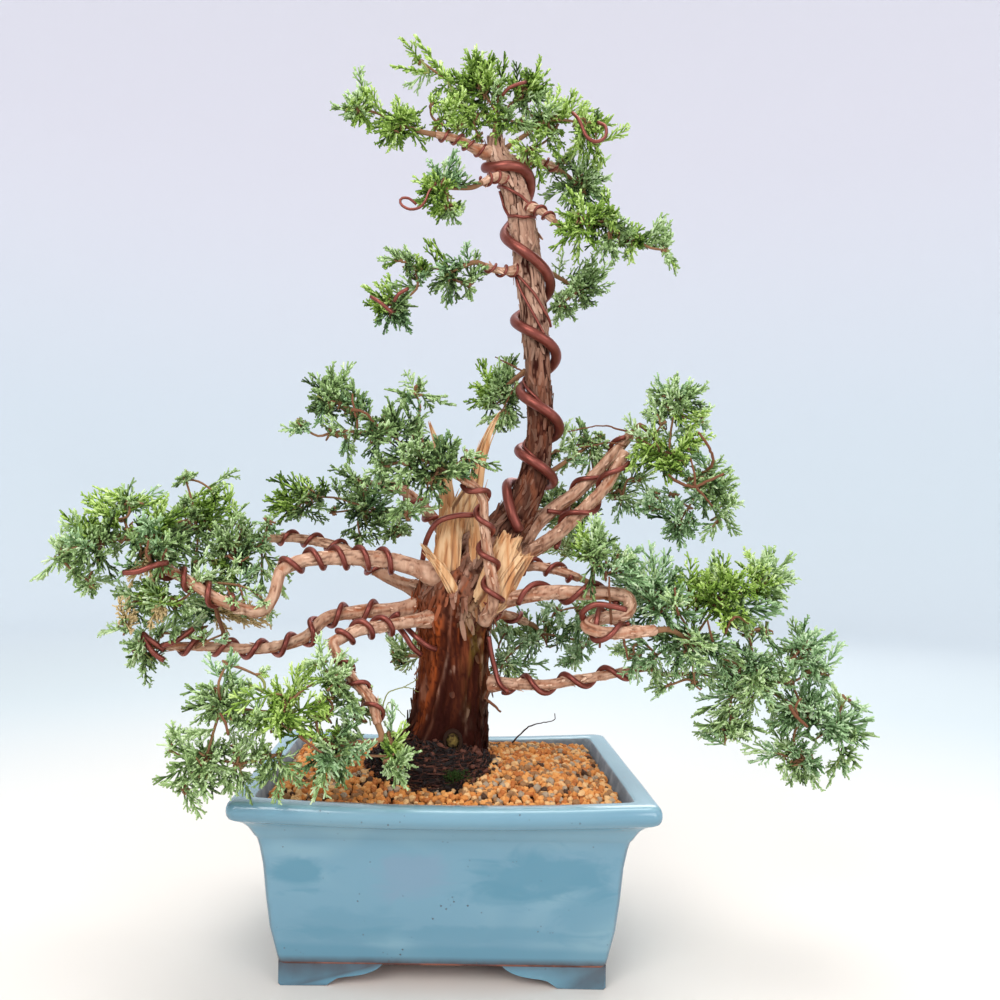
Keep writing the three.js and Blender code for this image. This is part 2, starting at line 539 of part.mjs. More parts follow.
// The stem of a mass: it leads on from the bough into the middle of the first lobe.
function stemSolid(mass) {
  const start = stemStart(mass);
  const end = middleOf(mass.lobes[0]);
  const carrier = BOUGHS.find((b) => b.name === mass.from);
  const heading = carrier ? start.clone().sub(routeOf(carrier.route).getPoint(0.94)) : end.clone().sub(start);
  heading.normalize();
  const bend = start.clone().addScaledVector(heading, Math.min(10, start.distanceTo(end) * 0.3));
  const stops = [start, bend, ...(mass.via ?? []).map(vector), end];
  const curve = new THREE.CatmullRomCurve3(stops, false, 'centripetal');
  const steps = Math.max(3, Math.round(curve.getLength() / 18));
  const radius = (share) => THREE.MathUtils.lerp(STEM.foot, STEM.tip, share);
  return sweep(curve.getSpacedPoints(steps), 4, round(radius));
}

// A twig between the middles of two lobes.
function linkSolid(from, to) {
  return sweep([from, from.clone().lerp(to, 0.5).add(new THREE.Vector3(0, 0, 1.5)), to], 3, round(STEM.tip));
}

// The lumpy dense heart of a lobe.
function coreSolid(lobe, share, random) {
  const radius = Math.max(lobe[3], lobe[5]);
  const geometry = new THREE.IcosahedronGeometry(1, radius < CORE.coarseBelow ? 0 : 1);
  geometry.deleteAttribute('normal');
  geometry.deleteAttribute('uv');
  const ball = mergeVertices(geometry, 1e-4);
  const position = ball.attributes.position;
  for (let i = 0; i < position.count; i += 1) {
    const direction = new THREE.Vector3().fromBufferAttribute(position, i);
    const place = onLobe(lobe, direction, share * (1 + CORE.lumps * (random() - 0.5)));
    position.setXYZ(i, place.x, place.y, place.z);
  }
  return solidOf(ball);
}

// One mass: a stem, twigs to its lobes, a dense heart in each and sprigs to points spread over them.
function foliageSolid(mass, index, neighbours) {
  const random = seeded(SEED + index);
  let solid = carved(stemSolid(mass), neighbours);
  const hearts = mass.lobes.map((lobe, i) => {
    const middles = mass.lobes.slice(0, i).map(middleOf);
    const here = middleOf(lobe);
    const parent = middles.sort((a, b) => a.distanceTo(here) - b.distanceTo(here))[0];
    if (parent) solid = solid.add(linkSolid(parent, here));
    const share = CORE.shares.find((s) => {
      const core = coreSolid(lobe, s, seeded(SEED + 50 * index + i));
      if (neighbours.some((neighbour) => meets(core, neighbour))) return false;
      solid = solid.add(core);
      return true;
    });
    return share ?? 0;
  });
  const placed = [];
  const grow = (foot, tip, bare, spread) => {
    const roll = random() * Math.PI;
    const piece = sprigSolid(foot, tip, roll, -SPRAY.sunk, spread);
    if (!fits(piece, mass, neighbours)) return false;
    const outer = sprigSolid(foot, tip, roll, bare, spread);
    if (placed.some((other) => meets(other, outer))) return false;
    const joined = solid.add(piece);
    if (joined.decompose().length > 1) return false;
    solid = joined;
    placed.push(outer);
    return true;
  };
  (mass.tips ?? []).map(vector).forEach((tip) => {
    const lobe = [...mass.lobes].sort((a, b) => middleOf(a).distanceTo(tip) - middleOf(b).distanceTo(tip))[0];
    for (let attempt = 0; attempt < 6; attempt += 1) {
      if (grow(middleOf(lobe), tip, SPRAY.length, SPRAY.tipSpread)) break;
    }
  });
  mass.lobes.forEach((lobe, i) => {
    const others = mass.lobes.filter((other) => other !== lobe);
    const size = (lobe[3] * lobe[4] + lobe[3] * lobe[5] + lobe[4] * lobe[5]) / 3;
    evenDirections(Math.round((4 * Math.PI * size) / SPRAY.area), index + i).forEach((direction) => {
      if (others.length && depthIn(others, onLobe(lobe, direction, 0.9)) < 0.9) return;
      const foot = onLobe(lobe, direction, hearts[i] ? CORE.foot : 0);
      [1.05, 1.05, 1, 1, 0.92, 0.92, 0.82, 0.82].some((share) => {
        const tip = onLobe(lobe, direction, share);
        const bare = hearts[i] ? foot.distanceTo(onLobe(lobe, direction, hearts[i])) : 4;
        return grow(foot, tip, Math.min(bare, foot.distanceTo(tip) * 0.5), SPRAY.spread);
      });
    });
  });
  return mainBody(solid);
}

// A sprig between two points, turned about its own length by the given roll. Its twig starts at `from`, and
// its fan opens by `spread` to each side.
function sprigSolid(foot, tip, roll, from, spread) {
  const outward = tip.clone().sub(foot);
  const reach = outward.length();
  outward.normalize();
  const level = Math.abs(outward.z) < 0.99 ? new THREE.Vector3(0, 0, 1) : new THREE.Vector3(1, 0, 0);
  const across = level.cross(outward).normalize().applyAxisAngle(outward, roll);
  const facing = across.clone().cross(outward);
  const frame = new THREE.Matrix4().makeBasis(across, outward, facing).setPosition(foot);
  return solidOf(sprigGeometry(reach, from, spread).applyMatrix4(frame));
}

// True if a sprig stays in its mass's own space and clear of every limb and neighbour.
function fits(piece, mass, neighbours) {
  const { vertProperties, numVert } = piece.getMesh();
  const others = FOLIAGE.filter((other) => other !== mass);
  for (let i = 0; i < numVert; i += 1) {
    const point = new THREE.Vector3().fromArray(vertProperties, 3 * i);
    const own = depthIn(mass.lobes, point);
    if (own > 0.45 && others.some((other) => depthIn(other.lobes, point) < own - 0.02)) return false;
  }
  return !neighbours.some((neighbour) => meets(piece, neighbour));
}

const bonsai = new THREE.Group();
const plant = new THREE.Group();
bonsai.add(plant);

function place(name, solid, colour, roughness = 0.8) {
  const material = new THREE.MeshStandardMaterial({ color: colour, roughness, metalness: 0 });
  const mesh = new THREE.Mesh(geometryOf(solid), material);
  mesh.name = name;
  plant.add(mesh);
}

// Room kept round the pieces placed so far: each is a little larger than the piece itself.
const room = [];

const trunkRoom = trunkSolid(GAP);
const matRoom = rootMatSolid(GAP);
const pot = potSolid();
place('pot', pot, COLOURS.glaze, 0.25);
place('soil', carved(soilSolid(), [trunkRoom, matRoom]), COLOURS.soil, 0.95);
place('root_mat', carved(rootMatSolid(), [trunkRoom]), COLOURS.roots, 0.95);
place('trunk', trunkSolid(), COLOURS.bark, 0.85);
room.push(trunkRoom, matRoom, pot, soilSolid(GAP));

DEADWOOD.forEach(({ name, splinters }, i) => {
  const shape = (grow) => splinters.map((s, j) => splinterSolid(s, 20 + 3 * i + j, grow))
    .reduce((a, b) => a.add(b));
  place(name, carved(shape(0), room), COLOURS.deadwood, 0.75);
  room.push(shape(GAP));
});

BOUGHS.forEach((bough) => {
  place(bough.name, carved(boughSolid(bough), room), COLOURS.limb, 0.8);
  room.push(boughSolid(bough, GAP));
});

place('wire_trunk', trunkWireSolid(), COLOURS.wire, 0.35);
room.push(trunkWireSolid(GAP));
BOUGH_WIRES.forEach((wire) => {
  place(wire.name, boughWireSolid(wire), COLOURS.wire, 0.35);
  room.push(boughWireSolid(wire, GAP));
});

FOLIAGE.forEach((mass, index) => {
  const solid = foliageSolid(mass, index, room);
  place(mass.name, solid, FRESH.includes(mass.name) ? COLOURS.freshFoliage : COLOURS.foliage, 0.7);
  room.push(solid);
});

// The frame's origin is under the middle of the whole plant, on the surface that the pot stands on.
plant.updateMatrixWorld(true);
const extent = new THREE.Box3().setFromObject(plant);
const middle = extent.getCenter(new THREE.Vector3());
plant.position.set(-middle.x, -middle.y, 0);

export default bonsai;
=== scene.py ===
"""The looks of a kishu juniper bonsai in its glazed rectangular pot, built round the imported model.

Places and sizes in the tables are millimetres, measured from the middle of the pot at the height of the
surface it stands on. Each mesh is turned into the frame's metres when it is made.
"""
import sys
import itertools
import logging
import math
from dataclasses import dataclass, field
from enum import Enum
from typing import Any, Callable, Iterable, Mapping, Sequence

import bmesh
import bpy
import numpy as np
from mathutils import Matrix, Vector


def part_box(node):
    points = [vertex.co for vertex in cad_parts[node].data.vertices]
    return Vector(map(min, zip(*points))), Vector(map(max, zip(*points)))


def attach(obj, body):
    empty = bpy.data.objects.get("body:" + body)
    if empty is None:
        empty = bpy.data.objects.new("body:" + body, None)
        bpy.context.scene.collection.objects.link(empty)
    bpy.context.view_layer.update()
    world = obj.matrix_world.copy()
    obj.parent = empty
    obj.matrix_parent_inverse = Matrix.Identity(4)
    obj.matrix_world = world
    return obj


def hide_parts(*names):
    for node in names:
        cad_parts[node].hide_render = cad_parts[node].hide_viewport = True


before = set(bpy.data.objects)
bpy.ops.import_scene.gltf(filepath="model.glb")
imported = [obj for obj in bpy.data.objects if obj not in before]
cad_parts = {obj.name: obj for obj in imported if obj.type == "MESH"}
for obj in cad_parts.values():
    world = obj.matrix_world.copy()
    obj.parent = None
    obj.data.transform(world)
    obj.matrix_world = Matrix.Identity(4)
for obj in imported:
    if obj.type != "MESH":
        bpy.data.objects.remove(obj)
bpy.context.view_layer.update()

LOG = logging.getLogger("bonsai")

MM = 0.001
POT_LOW, POT_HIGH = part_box("pot")
ORIGIN = np.array([(POT_LOW.x + POT_HIGH.x) / 2, (POT_LOW.y + POT_HIGH.y) / 2, 0.0])
UP = np.array([0.0, 0.0, 1.0])
SIDEWAYS = np.array([1.0, 0.0, 0.0])
MAT_CENTRE = (-12.0, -20.0, 128.0)
MAT_RADII = (50.0, 52.0, 33.0)

Array = np.ndarray
Point = tuple[float, float, float]
Colour = tuple[float, float, float, float]


def paint(red: int, green: int, blue: int) -> Colour:
    """Turns a screen colour into the linear colour that a shader takes.

    Args:
        red, green, blue: parts from 0 to 255.

    Returns:
        The linear colour, with an alpha of 1.
    """
    def part(value: int) -> float:
        """Turns one part."""
        share = value / 255
        return share / 12.92 if share <= 0.04045 else ((share + 0.055) / 1.055) ** 2.4

    return part(red), part(green), part(blue), 1.0


# Geometry helpers


class Noise:
    """Smooth, repeatable noise between -1 and 1 in three dimensions."""

    def __init__(self, seed: int) -> None:
        """Draws the table of values from a seed.

        Args:
            seed: the seed.
        """
        rng = np.random.default_rng(seed)
        self.order = rng.permutation(256)
        self.values = rng.uniform(-1, 1, 256)

    def __call__(self, points: Array) -> Array:
        """Reads the noise.

        Args:
            points: places, one row each.

        Returns:
            One value for each row.
        """
        cell = np.floor(points).astype(int)
        local = points - cell
        fade = local * local * (3 - 2 * local)
        total = np.zeros(len(points))
        for corner in itertools.product((0, 1), repeat=3):
            i, j, k = ((cell + corner) & 255).T
            key = self.order[(self.order[(self.order[i] + j) & 255] + k) & 255]
            weight = np.prod(np.where(np.array(corner) == 1, fade, 1 - fade), axis=1)
            total += weight * self.values[key]
        return total

    def layered(self, points: Array, layers: int = 3) -> Array:
        """Adds finer layers of the noise, each half as strong as the one before.

        Args:
            points: places, one row each.
            layers: how many layers there are.

        Returns:
            One value for each row.
        """
        total = sum(self(points * 2.03 ** n + 7.1 * n) * 0.5 ** n for n in range(layers))
        return total / (2 - 0.5 ** (layers - 1))

    def wound(self, spin: Array, run: Array, around: Any, up: float, layers: int = 3) -> Array:
        """Reads the noise over a limb, stretched along it and joined up round it.

        Args:
            spin: the angle of each point of its grid.
            run: how far along the limb each point lies.
            around, up: how fine the noise is round the limb and along it.
            layers: how many layers there are.

        Returns:
            One value for each point of the grid.
        """
        spot = np.stack([np.cos(spin) * around, np.sin(spin) * around, run * up], axis=-1)
        return self.layered(spot.reshape(-1, 3), layers).reshape(spin.shape)


def unit(vectors: Array) -> Array:
    """Scales vectors to a length of one."""
    return vectors / np.maximum(np.linalg.norm(vectors, axis=-1, keepdims=True), 1e-9)


def circle(count: int) -> Array:
    """Gives even angles once round."""
    return np.linspace(0, 2 * math.pi, count, endpoint=False)


def step(low: float, high: float, values: Array) -> Array:
    """Rises smoothly from 0 at low to 1 at high."""
    share = np.clip((np.asarray(values, float) - low) / (high - low), 0, 1)
    return share * share * (3 - 2 * share)


class Route:
    """A smooth curve through a few places, spaced by the root of their distance."""

    def __init__(self, places: Sequence[Sequence[float]]) -> None:
        """Keeps the places, with one more beyond each end.

        Args:
            places: where the curve passes.
        """
        inner = np.array(places, float)
        self.spans = len(inner) - 1
        first, last = 2 * inner[0] - inner[1], 2 * inner[-1] - inner[-2]
        self.places = np.vstack([first, inner, last])

    def at(self, shares: Array) -> Array:
        """Reads the curve.

        Args:
            shares: from 0 at the first place to 1 at the last, with even steps from place to place.

        Returns:
            A point for each share.
        """
        spot = np.clip(np.asarray(shares, float), 0, 1) * self.spans
        index = np.minimum(spot.astype(int), self.spans - 1)
        t = (spot - index)[:, None]
        p0, p1, p2, p3 = (self.places[index + k] for k in range(4))
        d0, d1, d2 = (np.maximum(np.linalg.norm(b - a, axis=1) ** 0.5, 1e-4)[:, None]
                      for a, b in ((p0, p1), (p1, p2), (p2, p3)))
        leave = ((p1 - p0) / d0 - (p2 - p0) / (d0 + d1) + (p2 - p1) / d1) * d1
        reach = ((p2 - p1) / d1 - (p3 - p1) / (d1 + d2) + (p3 - p2) / d2) * d1
        bend, twist = -3 * p1 + 3 * p2 - 2 * leave - reach, 2 * p1 - 2 * p2 + leave + reach
        return p1 + leave * t + bend * t ** 2 + twist * t ** 3

    def even(self, shares: Array) -> Array:
        """Reads the curve at shares of its length.

        Args:
            shares: from 0 at the start to 1 at the end.

        Returns:
            A point for each share.
        """
        fine = np.linspace(0, 1, 60 * self.spans + 1)
        points = self.at(fine)
        run = np.concatenate([[0], np.cumsum(np.linalg.norm(np.diff(points, axis=0), axis=1))])
        return self.at(np.interp(np.asarray(shares) * run[-1], run, fine))

    def length(self) -> float:
        """Gives the curve's length in millimetres."""
        points = self.at(np.linspace(0, 1, 60 * self.spans + 1))
        return float(np.linalg.norm(np.diff(points, axis=0), axis=1).sum())


@dataclass
class Frames:
    """Points along a limb, each with a direction along it and two across it that don't twist."""

    points: Array
    along: Array
    side: Array
    other: Array

    @classmethod
    def of(cls, points: Array) -> "Frames":
        """Works the directions out from the points.

        Args:
            points: the middle of the limb, from its foot on.

        Returns:
            The frames, one for each point.
        """
        after = np.vstack([points[1:], points[-1:]])
        before = np.vstack([points[:1], points[:-1]])
        along = unit(after - before)
        side = np.array([0.0, 1.0, 0.0])
        if np.sum(np.cross(side, along[0]) ** 2) <= 0.04:
            side = SIDEWAYS
        sides = []
        for direction in along:
            side = unit(side - direction * (side @ direction))
            sides.append(side)
        return cls(points, along, np.array(sides), np.cross(np.array(sides), along))

    def around(self, angles: Array) -> Array:
        """Gives the outward direction at each angle, for every point."""
        return np.cos(angles)[..., None] * self.side[:, None] + np.sin(angles)[..., None] * self.other[:, None]

    def off(self, angles: Array, reach: Array) -> Array:
        """Gives one place for each point, at an angle and a distance from it."""
        out = np.cos(angles)[:, None] * self.side + np.sin(angles)[:, None] * self.other
        return self.points + reach[:, None] * out


class Shape:
    """The arrays of one mesh: points in millimetres, faces, their finishes and values kept on the points."""

    def __init__(self) -> None:
        """Starts with nothing in it."""
        self.points: list[Array] = []
        self.faces: list[tuple[Array, Array, bool]] = []
        self.values: dict[str, list[tuple[int, Array]]] = {}
        self.count = 0

    def add(self, points: Array, faces: Iterable[Array], finish: Any = 0, smooth: bool = True,
            **values: Array) -> None:
        """Adds points and the faces between them.

        Args:
            points: the new points, one row each.
            faces: arrays of faces, each with one row of point numbers for a face.
            finish: the number of a finish, or one array of numbers for each array of faces.
            smooth: whether the faces are shaded smooth.
            values: named values, one for each new point.
        """
        for k, rows in enumerate(faces):
            chosen = finish[k] if isinstance(finish, (list, tuple)) else finish
            marks = np.broadcast_to(np.asarray(chosen, int), (len(rows),))
            self.faces.append((np.asarray(rows, int) + self.count, marks, smooth))
        for name, row in values.items():
            self.values.setdefault(name, []).append((self.count, np.broadcast_to(row, (len(points),))))
        self.points.append(np.asarray(points, float))
        self.count += len(points)

    def triangles(self) -> int:
        """Counts the triangles that the faces make."""
        return sum(len(rows) * (rows.shape[1] - 2) for rows, _, _ in self.faces)

    def build(self, name: str, finishes: Sequence["Finish"], slot: str, replaces: Sequence[str] = ()) -> None:
        """Makes the piece, dresses it and lets it ride on the model.

        Args:
            name: the piece's name.
            finishes: its finishes, in the order of their numbers.
            slot: the record's material slot; not used.
            replaces: the names of the nodes that it stands for.
        """
        mesh = bpy.data.meshes.new(name)
        points = np.concatenate(self.points) * MM + ORIGIN
        corners = np.concatenate([rows.ravel() for rows, _, _ in self.faces])
        sizes = np.concatenate([np.full(len(rows), rows.shape[1]) for rows, _, _ in self.faces])
        mesh.vertices.add(len(points))
        mesh.vertices.foreach_set("co", points.astype(np.float32).ravel())
        mesh.loops.add(len(corners))
        mesh.loops.foreach_set("vertex_index", corners.astype(np.int32))
        mesh.polygons.add(len(sizes))
        starts = np.concatenate([[0], np.cumsum(sizes)[:-1]])
        mesh.polygons.foreach_set("loop_start", starts.astype(np.int32))
        marks = np.concatenate([row for _, row, _ in self.faces])
        mesh.polygons.foreach_set("material_index", marks.astype(np.int32))
        smooth = np.concatenate([np.full(len(rows), flag) for rows, _, flag in self.faces])
        mesh.polygons.foreach_set("use_smooth", smooth)
        for key, parts in self.values.items():
            row = np.zeros(self.count, np.float32)
            for start, part in parts:
                row[start:start + len(part)] = part
            mesh.attributes.new(key, "FLOAT", "POINT").data.foreach_set("value", row)
        mesh.update(calc_edges=True)
        mesh.validate()
        for finish in finishes:
            mesh.materials.append(finish.material())
        piece = bpy.data.objects.new(name, mesh)
        bpy.context.scene.collection.objects.link(piece)
        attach(piece, "root")
        if replaces:
            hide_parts(*replaces)
        LOG.info("%s: %d triangles", name, self.triangles())


def grid_faces(rows: int, columns: int) -> Array:
    """Joins the rings of a tube with four-sided faces.

    Args:
        rows: how many rings there are.
        columns: how many points a ring has.

    Returns:
        The faces, seen from outside where the rings run counter-clockwise about the tube.
    """
    i, k = np.meshgrid(np.arange(rows - 1), np.arange(columns), indexing="ij")
    after = (k + 1) % columns
    return np.stack([i * columns + k, i * columns + after, (i + 1) * columns + after, (i + 1) * columns + k],
                    axis=-1).reshape(-1, 4)


def closed_tube(shape: Shape, rings: Array, finish: int = 0, smooth: bool = True, **values: Array) -> None:
    """Adds a tube through rings of points, closed at both ends.

    Args:
        shape: where it goes.
        rings: ring by ring, the points of each.
        finish: the number of its finish.
        smooth: whether it is shaded smooth.
        values: named values, ring by ring.
    """
    rows, columns = rings.shape[:2]
    ends = rings[[0, -1]].mean(axis=1)
    points = np.vstack([rings.reshape(-1, 3), ends])
    last = (rows - 1) * columns
    k = np.arange(columns)
    after = (k + 1) % columns
    foot = np.stack([np.full(columns, rows * columns), after, k], axis=1)
    head = np.stack([np.full(columns, rows * columns + 1), last + k, last + after], axis=1)
    flat = {name: np.concatenate([row.ravel(), row[[0, -1]].mean(axis=1)]) for name, row in values.items()}
    shape.add(points, [grid_faces(rows, columns), foot, head], finish, smooth, **flat)


def swept(shape: Shape, points: Array, radii: Array, sides: int, finish: int = 0) -> None:
    """Adds a round tube along one line of points.

    Args:
        shape: where it goes.
        points: the middle of the tube.
        radii: its radius at each point.
        sides: how many sides it has.
        finish: the number of its finish.
    """
    angles = np.broadcast_to(circle(sides), (len(points), sides))
    closed_tube(shape, points[:, None] + radii[:, None, None] * Frames.of(points).around(angles), finish)


def prisms(shape: Shape, rings: Array, finish: Any = 0, smooth: bool = True, **values: Array) -> None:
    """Adds many small closed tubes at once.

    Args:
        shape: where they go.
        rings: tube by tube and ring by ring, the points of each.
        finish: the number of a finish, one number for each tube, or a list for side faces, feet and heads.
        smooth: whether they are shaded smooth.
        values: named values, one for each tube.
    """
    count, rows, sides = rings.shape[:3]
    starts = np.arange(count)[:, None, None] * rows * sides
    quads = (grid_faces(rows, sides)[None] + starts).reshape(-1, 4)
    foot = (np.arange(sides)[::-1][None] + starts[:, 0]).reshape(-1, sides)
    head = (np.arange(sides)[None] + (rows - 1) * sides + starts[:, 0]).reshape(-1, sides)
    if not isinstance(finish, list):
        chosen = np.broadcast_to(np.asarray(finish, int), (count,))
        finish = [np.repeat(chosen, (rows - 1) * sides), chosen, chosen]
    spread = {name: np.repeat(row, rows * sides) for name, row in values.items()}
    shape.add(rings.reshape(-1, 3), [quads, foot, head], finish, smooth, **spread)


def bundle(shape: Shape, lines: Array, radii: Array, sides: int = 3, finish: Any = 0, **values: Array) -> None:
    """Adds many small round tubes at once.

    Args:
        shape: where they go.
        lines: the middle of each tube, with the same number of points in each.
        radii: the radius at each of those points.
        sides: how many sides a tube has.
        finish: the number of a finish, or one number for each tube.
        values: named values, one for each tube.
    """
    if not len(lines):
        return
    along = unit(np.gradient(lines, axis=1))
    whole = unit(lines[:, -1] - lines[:, 0])
    guide = np.where(np.abs(whole[:, 2:3]) < 0.8, UP, SIDEWAYS)
    side = unit(np.cross(along, guide[:, None]))
    other = np.cross(along, side)
    angles = circle(sides)[:, None]
    reach = np.cos(angles) * side[:, :, None] + np.sin(angles) * other[:, :, None]
    prisms(shape, lines[:, :, None] + radii[:, :, None, None] * reach, finish, **values)


def slivers(shape: Shape, lines: Array, wide: Array, thick: Array, **values: Array) -> None:
    """Adds many thin flat strips at once, such as flakes of bark.

    Args:
        shape: where they go.
        lines: the middle of each strip, with the same number of points in each.
        wide: from the middle to one edge, at each of those points.
        thick: from the middle to the upper face, at each of those points.
        values: named values, one for each strip.
    """
    corners = np.array([[1, 1], [-1, 1], [-1, -1], [1, -1]], float)
    rings = lines[:, :, None] + corners[:, :1] * wide[:, :, None] + corners[:, 1:] * thick[:, :, None]
    prisms(shape, rings, smooth=False, **values)


@dataclass
class Flakes:
    """Loose flakes of bark: where each sits on a limb, and the way it points."""

    spot: Array
    out: Array
    heading: Array

    @classmethod
    def on(cls, rings: Array, frames: Frames, rows: Array, columns: Array, sway: float,
           rng: np.random.Generator, odds: Sequence[float] | None = None) -> "Flakes":
        """Sets flakes on a limb's surface, along it one way or the other.

        Args:
            rings: the surface's points, ring by ring.
            frames: the limb's frames.
            rows, columns: the grid point of each flake.
            sway: how far they turn aside.
            rng: the source of small differences.
            odds: how many point to the foot and how many to the tip, even when left out.

        Returns:
            The flakes.
        """
        spot, count = rings[rows, columns], len(rows)
        out = unit(spot - frames.points[rows])
        turn = rng.choice([-1, 1], count, p=odds)[:, None]
        heading = unit(frames.along[rows] * turn + sway * rng.normal(size=(count, 3)))
        return cls(spot, out, unit(heading - out * np.sum(heading * out, axis=1, keepdims=True)))

    def lay(self, shape: Shape, sizes: tuple[Array, Array, Array], taper: Sequence[float], clear: float,
            thick: float, **values: Array) -> None:
        """Adds the flakes' strips.

        Args:
            shape: where they go.
            sizes: the length, half width and lift of each.
            taper: its width at even steps, as shares of the whole.
            clear: how far above the surface it starts.
            thick: half its thickness.
            values: named values, one for each flake.
        """
        length, width, lift = (row[:, None] for row in sizes)
        bits = np.linspace(0, 1, len(taper))
        lines = (self.spot[:, None] + self.heading[:, None] * (length * bits)[..., None]
                 + self.out[:, None] * (clear + lift * bits ** 2)[..., None])
        wide = np.cross(self.out, self.heading)[:, None] * (width * np.array(taper))[..., None]
        slivers(shape, lines, wide, np.broadcast_to(self.out[:, None] * thick, lines.shape), **values)


# Shader helpers


def maths(operation: str, swapped: bool = False) -> Callable[["Value", Any], "Value"]:
    """Makes an operator that adds a Math node.

    Args:
        operation: what the node does.
        swapped: whether the value comes second.

    Returns:
        The operator, for the class Value.
    """
    def operator(self: "Value", other: Any) -> "Value":
        """Adds the node."""
        first, second = (other, self) if swapped else (self, other)
        return self.tree.node("ShaderNodeMath", {"operation": operation}, {0: first, 1: second})

    return operator


class Value:
    """One output of a node tree's node, with arithmetic that adds Math nodes."""

    __add__ = __radd__ = maths("ADD")
    __mul__ = __rmul__ = maths("MULTIPLY")
    __sub__, __rsub__ = maths("SUBTRACT"), maths("SUBTRACT", swapped=True)
    __truediv__, __pow__ = maths("DIVIDE"), maths("POWER")

    def __init__(self, tree: "Tree", socket: bpy.types.NodeSocket) -> None:
        """Keeps the tree and the socket."""
        self.tree, self.socket = tree, socket

    def above(self, low: float, high: float) -> "Value":
        """Rises smoothly from 0 at low to 1 at high."""
        return self.tree.node("ShaderNodeMapRange", {"interpolation_type": "SMOOTHSTEP"},
                              {"Value": self, "From Min": low, "From Max": high})


class Tree:
    """A material's nodes: a Principled shader and what leads into it."""

    def __init__(self, name: str) -> None:
        """Makes the material with its shader and output.

        Args:
            name: the material's name.
        """
        self.material = bpy.data.materials.new(name)
        self.material.use_nodes = True
        self.nodes = self.material.node_tree.nodes
        self.nodes.clear()
        output = self.nodes.new("ShaderNodeOutputMaterial")
        self.shader = self.nodes.new("ShaderNodeBsdfPrincipled")
        self.material.node_tree.links.new(self.shader.outputs[0], output.inputs[0])

    def put(self, socket: bpy.types.NodeSocket, value: Any) -> None:
        """Links a value to a socket, or sets the socket to a constant.

        Args:
            socket: a node's input.
            value: what it takes.
        """
        if isinstance(value, Value):
            self.material.node_tree.links.new(value.socket, socket)
        else:
            socket.default_value = value

    def node(self, kind: str, settings: Mapping[str, Any] | None = None,
             inputs: Mapping[Any, Any] | None = None, output: Any = 0) -> Value:
        """Adds any node.

        Args:
            kind: the node's type.
            settings: what is set on it first.
            inputs: values or constants by the name or number of their socket.
            output: the name or number of the output that is wanted.

        Returns:
            That output.
        """
        made = self.nodes.new(kind)
        for name, value in (settings or {}).items():
            setattr(made, name, value)
        for key, value in (inputs or {}).items():
            self.put(made.inputs[key], value)
        return Value(self, made.outputs[output])

    def kept(self, name: str) -> Value:
        """Reads a value that the mesh keeps on its points."""
        return self.node("ShaderNodeAttribute", {"attribute_name": name}, output="Fac")

    def place(self, scale: Point = (1.0, 1.0, 1.0)) -> Value:
        """Gives the place on the object in metres, times a scale for each direction."""
        spot = self.node("ShaderNodeTexCoord", output="Object")
        return self.node("ShaderNodeVectorMath", {"operation": "MULTIPLY"}, {0: spot, 1: scale})

    def axis(self, name: str) -> Value:
        """Gives one coordinate, X, Y or Z, of the place on the object in metres."""
        spot = self.node("ShaderNodeTexCoord", output="Object")
        return self.node("ShaderNodeSeparateXYZ", inputs={0: spot}, output=name)

    def noise(self, scale: float, detail: float = 3.0, vector: Value | None = None,
              distortion: float = 0.0) -> Value:
        """Adds a noise texture.

        Args:
            scale: how fine it is.
            detail: how many finer layers it has.
            vector: where it is read, which is the place on the object when left out.
            distortion: how far it is swirled.

        Returns:
            Its value, about 0.5 on average.
        """
        return self.node("ShaderNodeTexNoise", {}, {
            "Vector": vector or self.place(), "Scale": scale, "Detail": detail, "Distortion": distortion})

    def mix(self, factor: Any, first: Any, second: Any) -> Value:
        """Blends two colours: the first at 0, the second at 1."""
        return self.node("ShaderNodeMix", {"data_type": "RGBA"}, {0: factor, 6: first, 7: second}, output=2)

    def finish(self, colour: Any, roughness: Any, bump: Value | None = None, depth: float = 0.0003,
               **constants: Any) -> bpy.types.Material:
        """Sets the shader's sockets and gives the material.

        Args:
            colour: the base colour.
            roughness: the roughness.
            bump: a height for a Bump node that feeds the normal.
            depth: how far that height reaches, in metres.
            constants: other sockets of the shader, with _ for a space.

        Returns:
            The finished material.
        """
        self.put(self.shader.inputs["Base Color"], colour)
        self.put(self.shader.inputs["Roughness"], roughness)
        if bump is not None:
            normal = self.node("ShaderNodeBump", {}, {"Height": bump, "Distance": depth, "Strength": 1.0})
            self.put(self.shader.inputs["Normal"], normal)
        for name, value in constants.items():
            self.put(self.shader.inputs[name.replace("_", " ")], value)
        return self.material


class Finish:
    """A finish, made into a material the first time a piece asks for it."""

    made: dict[str, bpy.types.Material] = {}
    name: str

    def material(self) -> bpy.types.Material:
        """Makes the material, if it isn't there yet.

        Returns:
            The material.
        """
        if self.name not in Finish.made:
            Finish.made[self.name] = self.nodes(Tree(self.name))
        return Finish.made[self.name]

    def nodes(self, tree: Tree) -> bpy.types.Material:
        """Fills a tree with the finish's nodes."""
        raise NotImplementedError


@dataclass(frozen=True)
class Plain(Finish):
    """One even colour, as a single granule, scale cord or twig has it."""

    name: str
    colour: Colour
    roughness: float = 0.6
    specular: float = 0.4

    def nodes(self, tree: Tree) -> bpy.types.Material:
        """Sets the colour and the gloss."""
        return tree.finish(self.colour, self.roughness, Specular_IOR_Level=self.specular)


